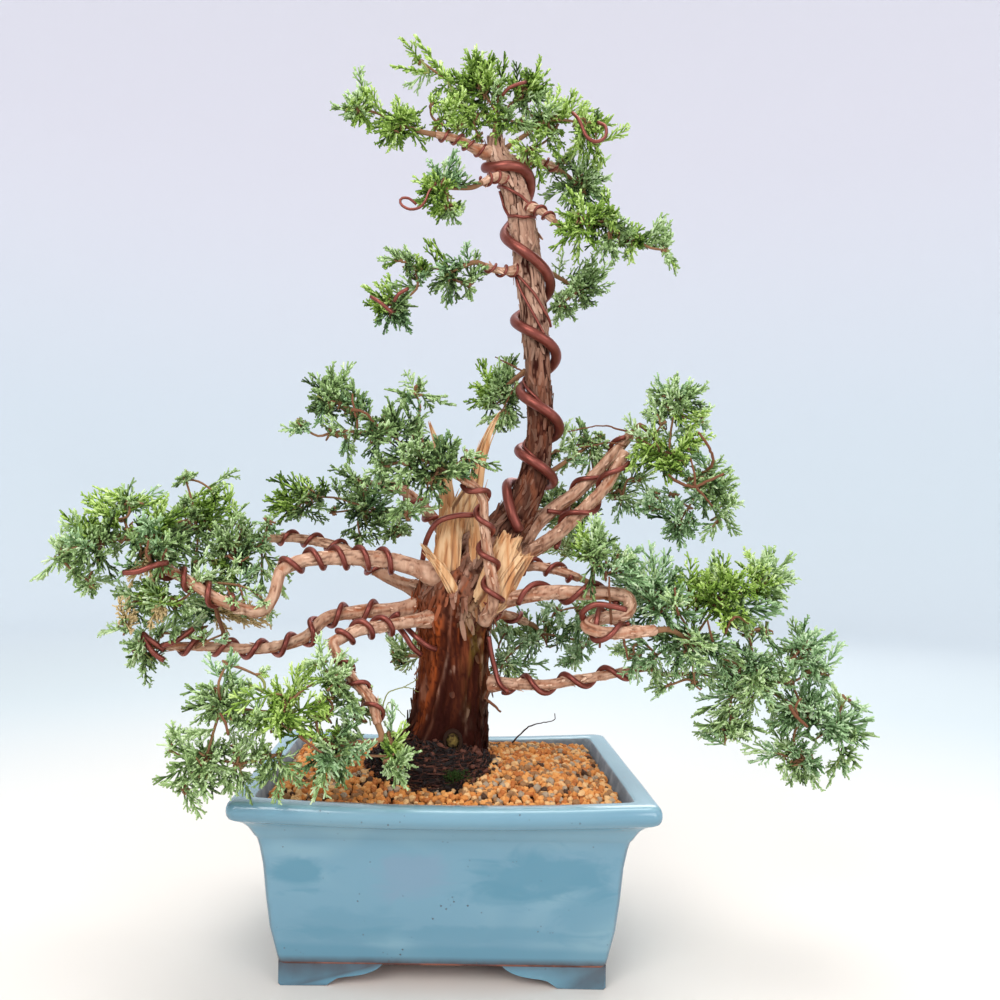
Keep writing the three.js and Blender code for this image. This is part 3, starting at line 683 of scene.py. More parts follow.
@dataclass(frozen=True)
class Glaze(Finish):
    """Blue stoneware glaze: cloudy, speckled, thin over the edges, with a painted highlight on the rim's top
    and painted shade under the rolled rim.
    """

    name: str = "blue_glaze"
    face: Colour = paint(106, 148, 168)
    cloud: Colour = paint(122, 160, 176)
    pool: Colour = paint(78, 132, 154)
    # Painted highlight: the flat top of the rim is drawn lighter.
    lip: Colour = paint(146, 186, 198)
    blush: Colour = paint(124, 140, 164)
    # Thin glaze over edges, also used for the painted shade under the rolled rim.
    thin: Colour = paint(66, 60, 66)

    # Pools on the front: their middle across and up, half their size each way, and their strength.
    patches: tuple[tuple[float, float, float, float, float], ...] = (
        (-97, 80, 22, 11, 0.85), (70, 82, 46, 17, 0.8), (42, 66, 34, 8, 0.5), (0, 38, 126, 6, 0.6),
        (-60, 46, 40, 10, 0.35), (96, 54, 22, 24, 0.4))
    blushed: tuple[float, float, float, float] = (-22, 80, 26, 15)

    def patch(self, tree: Tree, across: float, up: float, half_across: float, half_up: float) -> Value:
        """Marks a ragged oval on the front, 1 in its middle and 0 outside it.

        Args:
            tree: the material's nodes.
            across, up: its middle in millimetres.
            half_across, half_up: half its size in millimetres.

        Returns:
            The mark.
        """
        x = (tree.axis("X") - (float(ORIGIN[0]) + across * MM)) / (half_across * MM)
        z = (tree.axis("Z") - up * MM) / (half_up * MM)
        ragged = tree.noise(32.0, 4.0, tree.place((1.0, 1.0, 2.2)), 0.8)
        return 1 - ((x * x + z * z) ** 0.5 + (ragged - 0.5) * 2.2).above(0.55, 1.3)

    def nodes(self, tree: Tree) -> bpy.types.Material:
        """Layers clouds, pools, specks and thin edges, with a painted highlight on the rim's top and painted
        shade under the rolled rim.

        Args:
            tree: the material's nodes.

        Returns:
            The finished material.
        """
        height = tree.axis("Z")
        broad = tree.noise(9.0, 2.0, tree.place((1.0, 1.0, 1.7)), 0.6)
        fine = tree.noise(70.0, 4.0)
        colour = tree.mix(broad.above(0.42, 0.62), self.face, self.cloud)
        pools = tree.noise(7.0, 2.0, tree.place((1.0, 1.0, 2.6)), 1.1).above(0.62, 0.67)
        front = 1 - tree.axis("Y").above(float(ORIGIN[1]) - 0.09, float(ORIGIN[1]) - 0.08)
        colour = tree.mix(pools * (1 - front) * 0.6, colour, self.pool)
        for across, up, half_across, half_up, strength in self.patches:
            colour = tree.mix(self.patch(tree, across, up, half_across, half_up) * front * strength, colour,
                              self.pool)
        colour = tree.mix(self.patch(tree, *self.blushed) * front * 0.35, colour, self.blush)
        low = 1 - (height + (broad - 0.5) * 0.012).above(0.026, 0.032)
        colour = tree.mix(low * 0.5, colour, self.pool)
        collar = (height + (broad - 0.5) * 0.004).above(0.104, 0.109)
        colour = tree.mix(collar * 0.35, colour, self.cloud)
        # Painted highlight on the flat top of the rim.
        colour = tree.mix(tree.kept("lip") * 0.75, colour, self.lip)
        colour = tree.mix(tree.kept("pooled") * 0.3, colour, self.pool)
        specks = tree.node("ShaderNodeTexVoronoi", {}, {"Vector": tree.place(), "Scale": 230.0})
        chosen = tree.noise(60.0, 1.0).above(0.58, 0.68)
        dots = (1 - specks.above(0.10, 0.2)) * chosen
        colour = tree.mix(dots * 0.75, colour, self.thin)
        # Thin glaze at the corners and foot, and painted shade under the rolled rim.
        edge = tree.kept("edge") * (0.55 + fine * 0.7)
        colour = tree.mix(edge, colour, self.thin)
        rough = 0.1 + fine * 0.1 + dots * 0.3
        waves = broad * 0.6 + tree.noise(28.0, 2.0) * 0.4 - dots * 0.3
        return tree.finish(colour, rough, waves, 0.0011, Coat_Weight=0.35, Coat_Roughness=0.06)


@dataclass(frozen=True)
class BareClay(Finish):
    """Unglazed fired clay, as on the foot rims and inside the wall."""

    name: str
    light: Colour
    dark: Colour

    def nodes(self, tree: Tree) -> bpy.types.Material:
        """Mottles the clay and gives it a sandy surface.

        Args:
            tree: the material's nodes.

        Returns:
            The finished material.
        """
        grain = tree.noise(420.0, 5.0)
        colour = tree.mix(tree.noise(60.0, 4.0).above(0.35, 0.65), self.light, self.dark)
        return tree.finish(colour, 0.78 + grain * 0.15, grain, 0.0006)


@dataclass(frozen=True)
class Bark(Finish):
    """Juniper bark: papery plates over darker cracks, with stains that the mesh marks."""

    name: str
    plate: Colour
    pale: Colour
    crack: Colour
    stain: Colour = paint(62, 25, 14)
    worn: Colour = paint(118, 60, 36)
    rust: Colour = paint(176, 84, 38)
    damp: Colour = paint(34, 7, 3)
    olive: Colour = paint(104, 88, 34)
    groove: float = 0.45

    def nodes(self, tree: Tree) -> bpy.types.Material:
        """Blends plates, cracks and stains.

        Args:
            tree: the material's nodes.

        Returns:
            The finished material.
        """
        fibre = tree.noise(260.0, 5.0, tree.place((1.0, 1.0, 0.22)))
        grain = tree.noise(900.0, 3.0, tree.place((1.0, 1.0, 0.35)))
        strands = tree.noise(150.0, 5.0, tree.place((1.0, 1.0, 0.14)), 0.5)
        colour = tree.mix(tree.kept("plate") * 0.75 + (fibre - 0.5) * 0.8, self.plate, self.pale)
        aged = tree.mix(strands.above(0.4, 0.66), self.stain, self.worn)
        colour = tree.mix(tree.kept("stained"), colour, aged)
        colour = tree.mix(tree.kept("rusty"), colour, self.rust)
        colour = tree.mix(tree.kept("olive"), colour, self.olive)
        colour = tree.mix(tree.kept("damp"), colour, self.damp)
        streaks = (fibre + grain * 0.4).above(0.4, 0.62)
        colour = tree.mix((1 - streaks) * self.groove, colour, self.crack)
        colour = tree.mix(tree.kept("crack"), colour, self.crack)
        rough = 0.9 - tree.kept("stained") * 0.14
        return tree.finish(colour, rough, fibre * 0.7 + grain * 0.3, 0.0011, Specular_IOR_Level=0.06)


@dataclass(frozen=True)
class TornWood(Finish):
    """Bare juniper heartwood, torn along its grain."""

    name: str = "torn_wood"
    light: Colour = paint(238, 198, 152)
    tan: Colour = paint(206, 146, 96)
    dark: Colour = paint(104, 54, 32)

    def nodes(self, tree: Tree) -> bpy.types.Material:
        """Draws fibres along the height, darker in the grooves.

        Args:
            tree: the material's nodes.

        Returns:
            The finished material.
        """
        fibre = tree.noise(230.0, 5.0, tree.place((1.0, 1.0, 0.09)))
        blotch = tree.noise(40.0, 3.0, tree.place((1.0, 1.0, 0.4)))
        colour = tree.mix(fibre.above(0.38, 0.62), self.tan, self.light)
        colour = tree.mix(blotch.above(0.5, 0.7) * 0.7, colour, self.tan)
        colour = tree.mix(tree.kept("groove") * 0.85, colour, self.dark)
        return tree.finish(colour, 0.72 + fibre * 0.12, fibre, 0.0011, Specular_IOR_Level=0.3)


@dataclass(frozen=True)
class BrownWire(Finish):
    """Soft aluminium wire with a coppery brown skin."""

    name: str = "brown_wire"
    skin: Colour = paint(134, 70, 60)
    worn: Colour = paint(166, 98, 84)

    def nodes(self, tree: Tree) -> bpy.types.Material:
        """Varies the skin a little and dulls it in patches.

        Args:
            tree: the material's nodes.

        Returns:
            The finished material.
        """
        patches = tree.noise(90.0, 3.0)
        colour = tree.mix(patches.above(0.5, 0.75) * 0.6, self.skin, self.worn)
        return tree.finish(colour, 0.3 + patches * 0.16, tree.noise(300.0, 2.0), 0.0001, Metallic=0.72)


@dataclass(frozen=True)
class Earth(Finish):
    """What lies under the granules and in the root mat: dark crumbs, which under the granules are also drawn
    darker for painted shade in the gaps.
    """

    name: str
    light: Colour
    dark: Colour

    def nodes(self, tree: Tree) -> bpy.types.Material:
        """Mottles the crumbs.

        Args:
            tree: the material's nodes.

        Returns:
            The finished material.
        """
        crumbs = tree.noise(330.0, 5.0)
        colour = tree.mix(crumbs.above(0.4, 0.62), self.dark, self.light)
        return tree.finish(colour, 0.95, crumbs, 0.0025, Specular_IOR_Level=0.2)


@dataclass(frozen=True)
class Sweep(Finish):
    """The plain studio sweep: white under the pot, pale blue farther off, paler again high up."""

    name: str = "studio_sweep"
    floor: Colour = (0.83, 0.785, 0.725, 1.0)
    pale: Colour = (0.665, 0.735, 0.75, 1.0)
    middle: Colour = (0.79, 0.865, 0.905, 1.0)
    high: Colour = (0.925, 0.895, 0.955, 1.0)

    def nodes(self, tree: Tree) -> bpy.types.Material:
        """Fades the colours into each other by distance and height, with a faint grain.

        Args:
            tree: the material's nodes.

        Returns:
            The finished material.
        """
        away = tree.node("ShaderNodeVectorMath", {"operation": "LENGTH"}, {0: tree.place((1.0, 1.0, 0.0))},
                         output="Value")
        colour = tree.mix(away.above(0.2, 1.3), self.floor, self.pale)
        colour = tree.mix(away.above(1.2, 3.0), colour, self.middle)
        colour = tree.mix(tree.axis("Z").above(0.3, 2.2), colour, self.high)
        return tree.finish(colour, 0.9 + tree.noise(3.0, 2.0) * 0.05, Specular_IOR_Level=0.1)


BARK = Bark("trunk_bark", paint(152, 104, 82), paint(228, 190, 166), paint(50, 18, 12))
LIMB_BARK = Bark("limb_bark", paint(148, 88, 57), paint(250, 212, 184), paint(84, 44, 29), groove=0.6)
WOOD = TornWood()
WIRE = BrownWire()
GLAZE = Glaze()
FOOT_CLAY = BareClay("foot_clay", paint(150, 92, 74), paint(92, 56, 50))
WALL_CLAY = BareClay("wall_clay", paint(150, 160, 168), paint(116, 126, 136))
# Partly painted shade: the bed shows in the gaps between granules and is drawn dark for the shade there.
BED = Earth("soil_bed", paint(116, 66, 30), paint(50, 26, 12))
MAT = Earth("root_mat", paint(58, 30, 22), paint(18, 9, 7))
FIBRES = [Plain(f"root_fibre_{name}", paint(*shade), 0.8) for name, shade in {
    "dark": (42, 22, 17), "brown": (96, 54, 40), "black": (24, 14, 12)}.items()]
STONES = [Plain(f"granule_{name}", paint(*shade), 0.85, 0.25) for name, shade in {
    "ochre": (228, 160, 92), "amber": (214, 140, 74), "tan": (230, 184, 128), "rust": (190, 116, 62),
    "brown": (158, 116, 78), "grey": (172, 152, 128), "dark": (78, 56, 42)}.items()]
TWIG = Plain("twig_brown", paint(146, 106, 76), 0.8, 0.2)
GREEN_TWIG = Plain("twig_green", paint(146, 150, 84), 0.7, 0.2)
DARK_TWIG = Plain("twig_dark", paint(60, 36, 30), 0.75, 0.2)
STUB = Plain("twig_stub", paint(122, 80, 58), 0.85, 0.15)
SCAR = [Earth("scar_wood", paint(112, 92, 46), paint(66, 48, 26)),
        Plain("scar_lip", paint(42, 24, 14), 0.8, 0.15)]
MOSS = Plain("moss", paint(48, 68, 28), 0.9, 0.15)


class Palette(Enum):
    """The greens of a mass, from its shaded heart to its freshest tips."""

    BLUE = ((54, 70, 38), (88, 111, 62), (121, 148, 87), (150, 178, 112), (180, 207, 142), (206, 230, 172),
            (224, 241, 196))
    SEA = ((47, 69, 37), (76, 104, 60), (104, 136, 85), (132, 166, 113), (162, 195, 142), (192, 221, 172),
           (216, 236, 194))
    FRESH = ((52, 74, 22), (83, 112, 37), (114, 145, 52), (143, 175, 75), (175, 205, 102), (202, 227, 136),
             (223, 243, 170))
    DEAD = ((132, 102, 62), (152, 120, 74), (170, 140, 90), (188, 158, 104), (204, 174, 120), (216, 188, 136),
            (226, 200, 150))

    def finishes(self) -> list[Finish]:
        """Gives one plain finish for each shade."""
        return [Plain(f"scale_{self.name.lower()}_{k}", paint(*shade), 0.62, 0.22)
                for k, shade in enumerate(self.value)]

    @property
    def first(self) -> int:
        """The number of the palette's first shade among all shades."""
        return SHADES * list(Palette).index(self)


SHADES = 7
SCALES = [finish for palette in Palette for finish in palette.finishes()]


# Pot and soil


def rounded_rectangle(half_x: float, half_y: float, corner: float, per_corner: int, per_side: int) -> Array:
    """Gives the points round a rectangle with round corners.

    Args:
        half_x, half_y: half its size.
        corner: the corners' radius.
        per_corner, per_side: how many steps each corner and each side has.

    Returns:
        Rows of x and y, counter-clockwise from the right side's upper end.
    """
    middles = np.array([(1, 1), (-1, 1), (-1, -1), (1, -1), (1, 1)]) * (half_x - corner, half_y - corner)

    def turned(middle: Array, swing: float) -> Array:
        """Gives the point on a corner at an angle."""
        return middle + corner * np.array([math.cos(swing), math.sin(swing)])

    points = []
    for quarter in range(4):
        swings = (math.pi / 2 * (quarter + k / per_corner) for k in range(per_corner + 1))
        points += [turned(middles[quarter], swing) for swing in swings]
        start, target = points[-1], turned(middles[quarter + 1], math.pi / 2 * (quarter + 1))
        points += [start + (target - start) * k / per_side for k in range(1, per_side)]
    return np.array(points)


@dataclass
class Pot:
    """The glazed pot: flared body with a rolled rim, on four scroll-edged feet."""

    shape: Shape = field(default_factory=Shape)
    half_width: float = 144.0
    half_depth: float = 112.0
    lip: float = 17.0
    rim_dip: float = 3.5
    foot_height: float = 15.0
    foot_inset: float = 31.5
    foot_long: float = 73.0
    foot_short: float = 55.0
    foot_flat: float = 0.45
    foot_wall: float = 13.0
    per_corner: int = 7
    per_side: int = 14
    # The profile's rows: the underside's, up to the wall's top, at the collar under the rolled rim, where shade
    # is painted, and up to the mouth.
    underside: int = 3
    wall_to: int = 15
    collar: tuple[int, int] = (16, 17)
    outer_to: int = 23
    profile: tuple[tuple[float, float], ...] = (
        (33.5, 14.6), (31.6, 15.1), (30.9, 16.6), (29.8, 22), (25.6, 42), (23.0, 64), (21.0, 86), (18.8, 99),
        (17.4, 104.5), (16.2, 106.6), (15.6, 107.2), (13.8, 110.8), (11.6, 114.4), (8.6, 117.5), (5.4, 119.8),
        (3.2, 120.9), (1.3, 122.2), (0.3, 124.4), (0, 127), (0.25, 129.6), (1.1, 131.8), (2.6, 133.4),
        (4.4, 134), (9, 134.1), (14.2, 133.9), (16.2, 133.2), (17.2, 131.4), (18, 127), (22, 117), (26, 106),
        (40, 24.5))

    def dip(self, x: Array) -> Array:
        """Gives how far the long sides of the rim sag at each place across the pot."""
        return -self.rim_dip * (1 - np.minimum(1, np.abs(x) / (self.half_width - self.lip)) ** 2)

    def body(self) -> None:
        """Adds the body, from its underside over the rim to the inner floor."""
        sway = Noise(11)
        rings, edge, lip, pooled = [], [], [], []
        steps = self.per_corner + self.per_side
        spot = np.arange(4 * steps) % steps
        turn = np.clip(1 - np.abs(spot - self.per_corner / 2) / (self.per_corner / 2), 0, 1)
        for row, (inset, z) in enumerate(self.profile):
            corner = max(3.0, 7.5 - 0.1 * inset)
            flat = rounded_rectangle(self.half_width - inset, self.half_depth - inset, corner, self.per_corner,
                                     self.per_side)
            rise = z + (self.dip(flat[:, 0]) if z > 118 else 0)
            ring = np.column_stack([flat, np.broadcast_to(rise, len(flat))])
            outer = inset < 33 and row <= self.outer_to
            wobble = sway(ring * 0.021) * (0.7 if outer and 20 < z < 120 else 0.25)
            ring[:, :2] *= (1 + wobble / self.half_width)[:, None]
            rings.append(ring)
            upright = float(20 < z < 118 and row < self.wall_to)
            underside = float(15 < z < 17 and row < self.underside)
            # Painted shade under the rolled rim, stronger at the corners.
            rolled = float(row in self.collar)
            edge.append(0.75 * turn ** 4 * upright + underside + rolled * 0.3 * (0.4 + 0.6 * turn ** 2))
            # Painted highlight: the rim's flat top.
            lip.append(np.full(len(flat), float(z > 132.5)))
            pooled.append(np.full(len(flat), float(123 < z < 128 and row < self.outer_to)))
        level = np.repeat(np.arange(len(rings) - 1), len(rings[0]))
        marks = np.where(level < 2, 1, np.where(level >= len(self.profile) - 6, 2, 0))
        prisms(self.shape, np.array([rings]), [marks, 1, 2])
        for name, rows in (("edge", edge), ("lip", lip), ("pooled", pooled)):
            self.shape.values[name] = [(0, np.concatenate(rows))]

    def foot_outline(self, length: float) -> Array:
        """Draws a foot's outline from the corner outwards: flat, then two scroll curves.

        Args:
            length: the foot's length.

        Returns:
            Rows of run and height.
        """
        flat = length * self.foot_flat
        top = self.foot_height + 1.5
        arcs = [((flat, 0), (flat + 6, 5), (flat + 14, 6.5)),
                ((flat + 14, 6.5), (length - 6, 8), (length, top))]
        points = [(0.0, top), (0.0, 1.2), (1.2, 0.0)] + [(flat * k, 0.0) for k in (0.35, 0.7)]
        for start, pull, end in arcs:
            for t in np.linspace(0, 1, 8)[:-1]:
                points.append(tuple((1 - t) ** 2 * a + 2 * t * (1 - t) * b + t * t * c
                                    for a, b, c in zip(start, pull, end)))
        points.append((length, top))
        return np.array(points)

    def foot(self, sx: int, sy: int, turned: bool) -> None:
        """Adds one run of a foot.

        Args:
            sx, sy: the corner's signs.
            turned: whether it runs along the pot's short side.
        """
        half_x, half_y = self.half_width - self.foot_inset, self.half_depth - self.foot_inset
        outline = self.foot_outline(self.foot_short if turned else self.foot_long)
        middle = outline.mean(axis=0)
        if turned:
            outline[:, 0] = np.maximum(outline[:, 0], self.foot_wall - 1.5)
        rings = []
        for depth, inset in ((0, 0.7), (0.7, 0), (self.foot_wall - 0.7, 0), (self.foot_wall, 0.7)):
            drawn = outline + unit(middle - outline) * inset
            run, across = drawn[:, 0], np.full(len(drawn), depth)
            x, y = (across, run) if turned else (run, across)
            rings.append(np.column_stack([-sx * (half_x - x), -sy * (half_y - y), drawn[:, 1]]))
        if (sx * sy > 0) == turned:
            rings = rings[::-1]
        rows, columns = len(rings), len(outline)
        points = np.concatenate(rings)
        faces = grid_faces(rows, columns)[:, ::-1]
        bare = np.where(points[faces][:, :, 2].max(axis=1) < self.foot_height, 1, 0)
        caps = [np.arange(columns)[None], np.arange(columns)[::-1][None] + (rows - 1) * columns]
        worn = 0.6 * np.clip(1 - points[:, 2] / 3, 0, 1)
        seam = step(self.foot_height - 1.6, self.foot_height - 0.2, points[:, 2])
        self.shape.add(points, [faces, *caps], [bare, 0, 0], False, edge=np.maximum(worn, seam))

    def dress(self) -> None:
        """Makes the pot's piece."""
        self.body()
        for sx, sy, turned in itertools.product((1, -1), (1, -1), (False, True)):
            self.foot(sx, sy, turned)
        self.shape.build("pot_body", [GLAZE, FOOT_CLAY, WALL_CLAY], "pot_glaze", ["pot"])


@dataclass
class Soil:
    """The mound of baked clay granules round the roots."""

    shape: Shape = field(default_factory=Shape)
    half_x: float = 123.6
    half_y: float = 91.6
    edge_top: float = 126.0
    crown: float = 15.0
    floor: float = 24.4
    sunk: float = 1.5
    bed_depth: float = 3.4
    pitch: float = 4.1
    grain: float = 2.75
    second_layer: float = 0.62
    lifted: float = 1.5
    seed: int = 31
    # How much of each stone there is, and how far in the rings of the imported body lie.
    shares: tuple[float, ...] = (0.26, 0.2, 0.17, 0.14, 0.13, 0.07, 0.03)
    rings: tuple[float, ...] = (1.0, 0.9, 0.76, 0.6, 0.44, 0.28, 0.1)

    def top(self, x: Array, y: Array) -> Array:
        """Works out the height of the mound.

        Args:
            x, y: places across the pot.

        Returns:
            A height for each.
        """
        share = np.maximum(np.abs(x) / self.half_x, np.abs(y) / self.half_y)
        marks = np.array([0.28, 0.44, 0.6, 0.76, 0.9, 1.0])
        return np.interp(share, marks, self.edge_top + self.crown * (1 - marks ** 2))

    def places(self, rng: np.random.Generator) -> Array:
        """Strews places for granules over the mound, clear of the root mat.

        Args:
            rng: the source of small differences.

        Returns:
            The granules' middles.
        """
        xs, ys = (np.arange(-half, half, self.pitch) for half in (self.half_x, self.half_y))
        grid = np.stack(np.meshgrid(xs, ys), axis=-1).reshape(-1, 2)
        layers = [grid + self.pitch / 2, grid[rng.random(len(grid)) < self.second_layer]]
        spots = np.vstack(layers) + rng.normal(0, 1.15, (sum(map(len, layers)), 2))
        lifted = np.repeat([0.0, self.lifted], [len(layers[0]), len(layers[1])])
        limit = np.array([self.half_x, self.half_y]) - 1.6
        inside = np.all(np.abs(spots) < limit, axis=1)
        mat = np.hypot(*((spots[:, k] - MAT_CENTRE[k]) / (MAT_RADII[k] * 0.84) for k in range(2)))
        keep = inside & (mat > rng.uniform(0.86, 1.1, len(spots)))
        spots, lifted = spots[keep], lifted[keep]
        height = self.top(*spots.T) - self.sunk + lifted + rng.normal(0, 0.5, len(spots))
        return np.column_stack([spots, height])

    def granules(self) -> None:
        """Adds the angular granules, each in one of the stones' colours."""
        rng = np.random.default_rng(self.seed)
        centres = self.places(rng)
        ball = bmesh.new()
        bmesh.ops.create_icosphere(ball, subdivisions=1, radius=1.0)
        corners = np.array([corner.co for corner in ball.verts])
        faces = np.array([[corner.index for corner in face.verts] for face in ball.faces])
        ball.free()
        count = len(centres)
        rough = corners[None] * rng.uniform(0.78, 1.18, (count, len(corners), 1))
        rough = rough * rng.uniform(0.75, 1.2, (count, 1, 3)) * rng.uniform(0.75, 1.15, (count, 1, 1))
        rough = rough * self.grain
        turn = turned_frames(unit(rng.normal(size=(count, 3))), rng.uniform(0, 2 * math.pi, count))
        points = centres[:, None] + np.einsum("nij,nkj->nki", turn, rough)
        tone = rng.choice(len(STONES), count, p=self.shares)
        rows = (faces[None] + (np.arange(count) * len(corners))[:, None, None]).reshape(-1, 3)
        self.shape.add(points.reshape(-1, 3), [rows], np.repeat(tone, len(faces)), False)

    def bed(self) -> None:
        """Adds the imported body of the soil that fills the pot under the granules."""
        rings = []
        for share, z in [(0.87, self.floor), (1.0, 105.0), *((share, None) for share in self.rings)]:
            flat = rounded_rectangle(self.half_x * share, self.half_y * share, 4.0, 3, 8)
            high = self.top(*flat.T) - self.bed_depth if z is None else np.full(len(flat), z)
            rings.append(np.column_stack([flat, high]))
        closed_tube(self.shape, np.array(rings), len(STONES))

    def dress(self) -> None:
        """Makes the soil's piece."""
        self.granules()
        self.bed()
        self.shape.build("soil_granules", [*STONES, BED], "soil", ["soil"])


def turned_frames(axes: Array, rolls: Array) -> Array:
    """Gives turning matrices that bring the third direction onto each axis, rolled about it.

    Args:
        axes: unit vectors, one row each.
        rolls: angles in radians.

    Returns:
        A matrix for each row.
    """
    guide = np.where(np.abs(axes[:, 2:3]) < 0.95, UP, SIDEWAYS)
    first = unit(np.cross(guide, axes))
    second = np.cross(axes, first)
    cos, sin = np.cos(rolls)[:, None], np.sin(rolls)[:, None]
    return np.stack([cos * first + sin * second, cos * second - sin * first, axes], axis=-1)


# Trunk, deadwood and boughs


@dataclass
class BarkGrid:
    """The trunk's surface as a grid: heights, how far it faces left and to the front, and its three noises."""

    height: Array
    left: Array
    front: Array
    plate: Array
    flute: Array
    shaggy: Array


@dataclass
class Trunk:
    """The flared, fluted trunk that runs up into the wired leader, with its peeling bark."""

    route: tuple[Point, ...] = (
        (-2, -7, 130), (0, -6, 146), (3, -4, 168), (6, -1, 214), (5, 0, 241), (8, 2, 264), (22, 6, 290),
        (46, 9, 318), (64, 8, 350), (71, 6, 390), (69, 4, 433), (65, 2, 479), (59, 0, 524), (52, -1, 564),
        (43, -2, 590), (34, -3, 606), (32, -3, 621))
    radii: tuple[float, ...] = (40, 34.5, 29, 26, 27.5, 31, 25, 16, 11.5, 10, 10, 10.5, 10.5, 10, 9.5, 7.5, 5.5)
    sides: int = 132
    steps: int = 400
    lobes: int = 5
    flare_to: float = 0.16
    flare: float = 0.15
    ribs: float = 0.05
    tries: int = 4500
    seed: int = 8
    collar: float = 5.0
    collar_reach: float = 40.0
    # Heights between which the bark turns rough, the leader begins, the ridge ends and the dark foot ends.
    rough_from: tuple[float, float] = (236, 262)
    leader_from: tuple[float, float] = (292, 322)
    ridge_to: tuple[float, float] = (250, 276)
    foot_to: tuple[float, float] = (160, 215)
    # The pale strip of bark that stands up on the front: how far left of the middle it runs at each height.
    ridge_heights: tuple[float, ...] = (150, 190, 232, 262)
    ridge_lefts: tuple[float, ...] = (0.46, 0.36, 0.14, 0.04)

    def radius(self, shares: Array) -> Array:
        """Works out the mean radius.

        Args:
            shares: places on the route, from 0 to 1.

        Returns:
            A radius for each.
        """
        marks = np.linspace(0, 1, len(self.radii))
        plain = np.interp(shares, marks, self.radii)
        left, right = (np.interp(shares + d, marks, self.radii) for d in (-0.018, 0.018))
        return (plain + left + right) / 3

    def shares_at(self, heights: Array) -> Array:
        """Gives the shares of the route at which it passes heights."""
        fine = np.linspace(0, 1, 2000)
        return np.interp(heights, Route(self.route).at(fine)[:, 2], fine)

    def surface(self) -> tuple[Frames, Array, dict[str, Array]]:
        """Works out the bark's surface.

        Returns:
            The frames, the radius at each point of the grid, and the values that the bark keeps.
        """
        shares = np.linspace(0, 1, self.steps)
        frames = Frames.of(Route(self.route).at(shares))
        angle = np.broadcast_to(circle(self.sides), (self.steps, self.sides))
        share = shares[:, None]
        foot = np.maximum(0, 1 - share / self.flare_to)
        base = self.radius(shares)[:, None]
        lobe = (1 + self.flare * foot * np.cos(self.lobes * angle + 0.6)
                + self.ribs * np.sin(3 * angle + 9 * share) * np.sin(21 * share + angle))
        run = np.concatenate([[0], np.cumsum(np.linalg.norm(np.diff(frames.points, axis=0), axis=1))])[:, None]
        run = np.broadcast_to(run, angle.shape)
        height = np.broadcast_to(frames.points[:, 2:3], angle.shape)
        spun = angle + run * 0.0035
        fine = np.clip(base / 9.0, 1.0, 3.2)

        def read(seed: int, around: float, up: float, layers: int = 3) -> Array:
            """Reads a noise that is stretched along the trunk and as fine on the leader as below."""
            return Noise(seed).wound(spun, run, around * fine, up, layers)

        old = step(*self.rough_from, height)
        leader = step(*self.leader_from, height)
        seams = np.abs(read(3, 1.5, 0.034))
        crack = (1 - step(0.015, 0.085 + 0.05 * leader, seams)) * (0.7 + 0.3 * np.maximum(leader, old))
        fissures = np.abs(read(9, 2.9, 0.013))
        crack = np.maximum(crack, (1 - step(0.0, 0.1, fissures)) * (0.85 - 0.25 * leader))
        short = np.abs(read(4, 1.3, 0.12, 2))
        crack = np.clip(np.maximum(crack, (1 - step(0.0, 0.05, short)) * 0.7 * old), 0, 1)
        plate, flute, shaggy = read(5, 1.8, 0.05), read(6, 0.9, 0.006, 2), read(7, 3.1, 0.03)
        depth = (1.5 - 0.7 * leader) * crack - (0.8 + 0.5 * old - 0.5 * leader) * plate
        relief = flute * 2.4 * (1 - leader) + 0.6 * shaggy - depth
        towards = frames.around(angle)
        grid = BarkGrid(height, -towards[..., 0], -towards[..., 1], plate, flute, shaggy)
        ridge, beside, flank = self.ridge(grid)
        relief = relief + 1.8 * ridge - 1.7 * beside + self.collars(frames, base, towards)
        stained, rusty, olive, damp = self.stains(grid, leader, flank)
        values = {"crack": np.maximum(crack * (1 - ridge), 0.8 * beside),
                  "plate": 0.5 + 0.5 * np.maximum(plate, ridge), "stained": stained * (1 - 0.5 * ridge),
                  "rusty": rusty, "olive": olive, "damp": damp * (1 - 0.55 * ridge)}
        radius = base * lobe + relief
        radius[0] = radius[1]
        return frames, radius, {name: np.clip(row, 0, 1) for name, row in values.items()}

    def ridge(self, grid: BarkGrid) -> tuple[Array, Array, Array]:
        """Marks the pale strip that stands up on the front.

        Args:
            grid: the surface.

        Returns:
            How strong the strip, the grooves beside it and the rusty flank left of it are at each point.
        """
        below = 1 - step(*self.ridge_to, grid.height)
        ridge_at = np.interp(grid.height, self.ridge_heights, self.ridge_lefts) + 0.03 * grid.shaggy
        off = grid.left - ridge_at
        worn = np.clip(0.7 + 1.5 * grid.shaggy, 0.2, 1)
        ridge = np.exp(-(off / 0.034) ** 2) * (grid.front > 0) * below * worn
        beside = np.exp(-((off - 0.1) / 0.045) ** 2) + np.exp(-((off + 0.09) / 0.035) ** 2)
        flank = np.exp(-((off - 0.27) / 0.13) ** 2) * (grid.front > -0.3) * below * step(128, 150, grid.height)
        return ridge, beside * (grid.front > 0) * below, flank

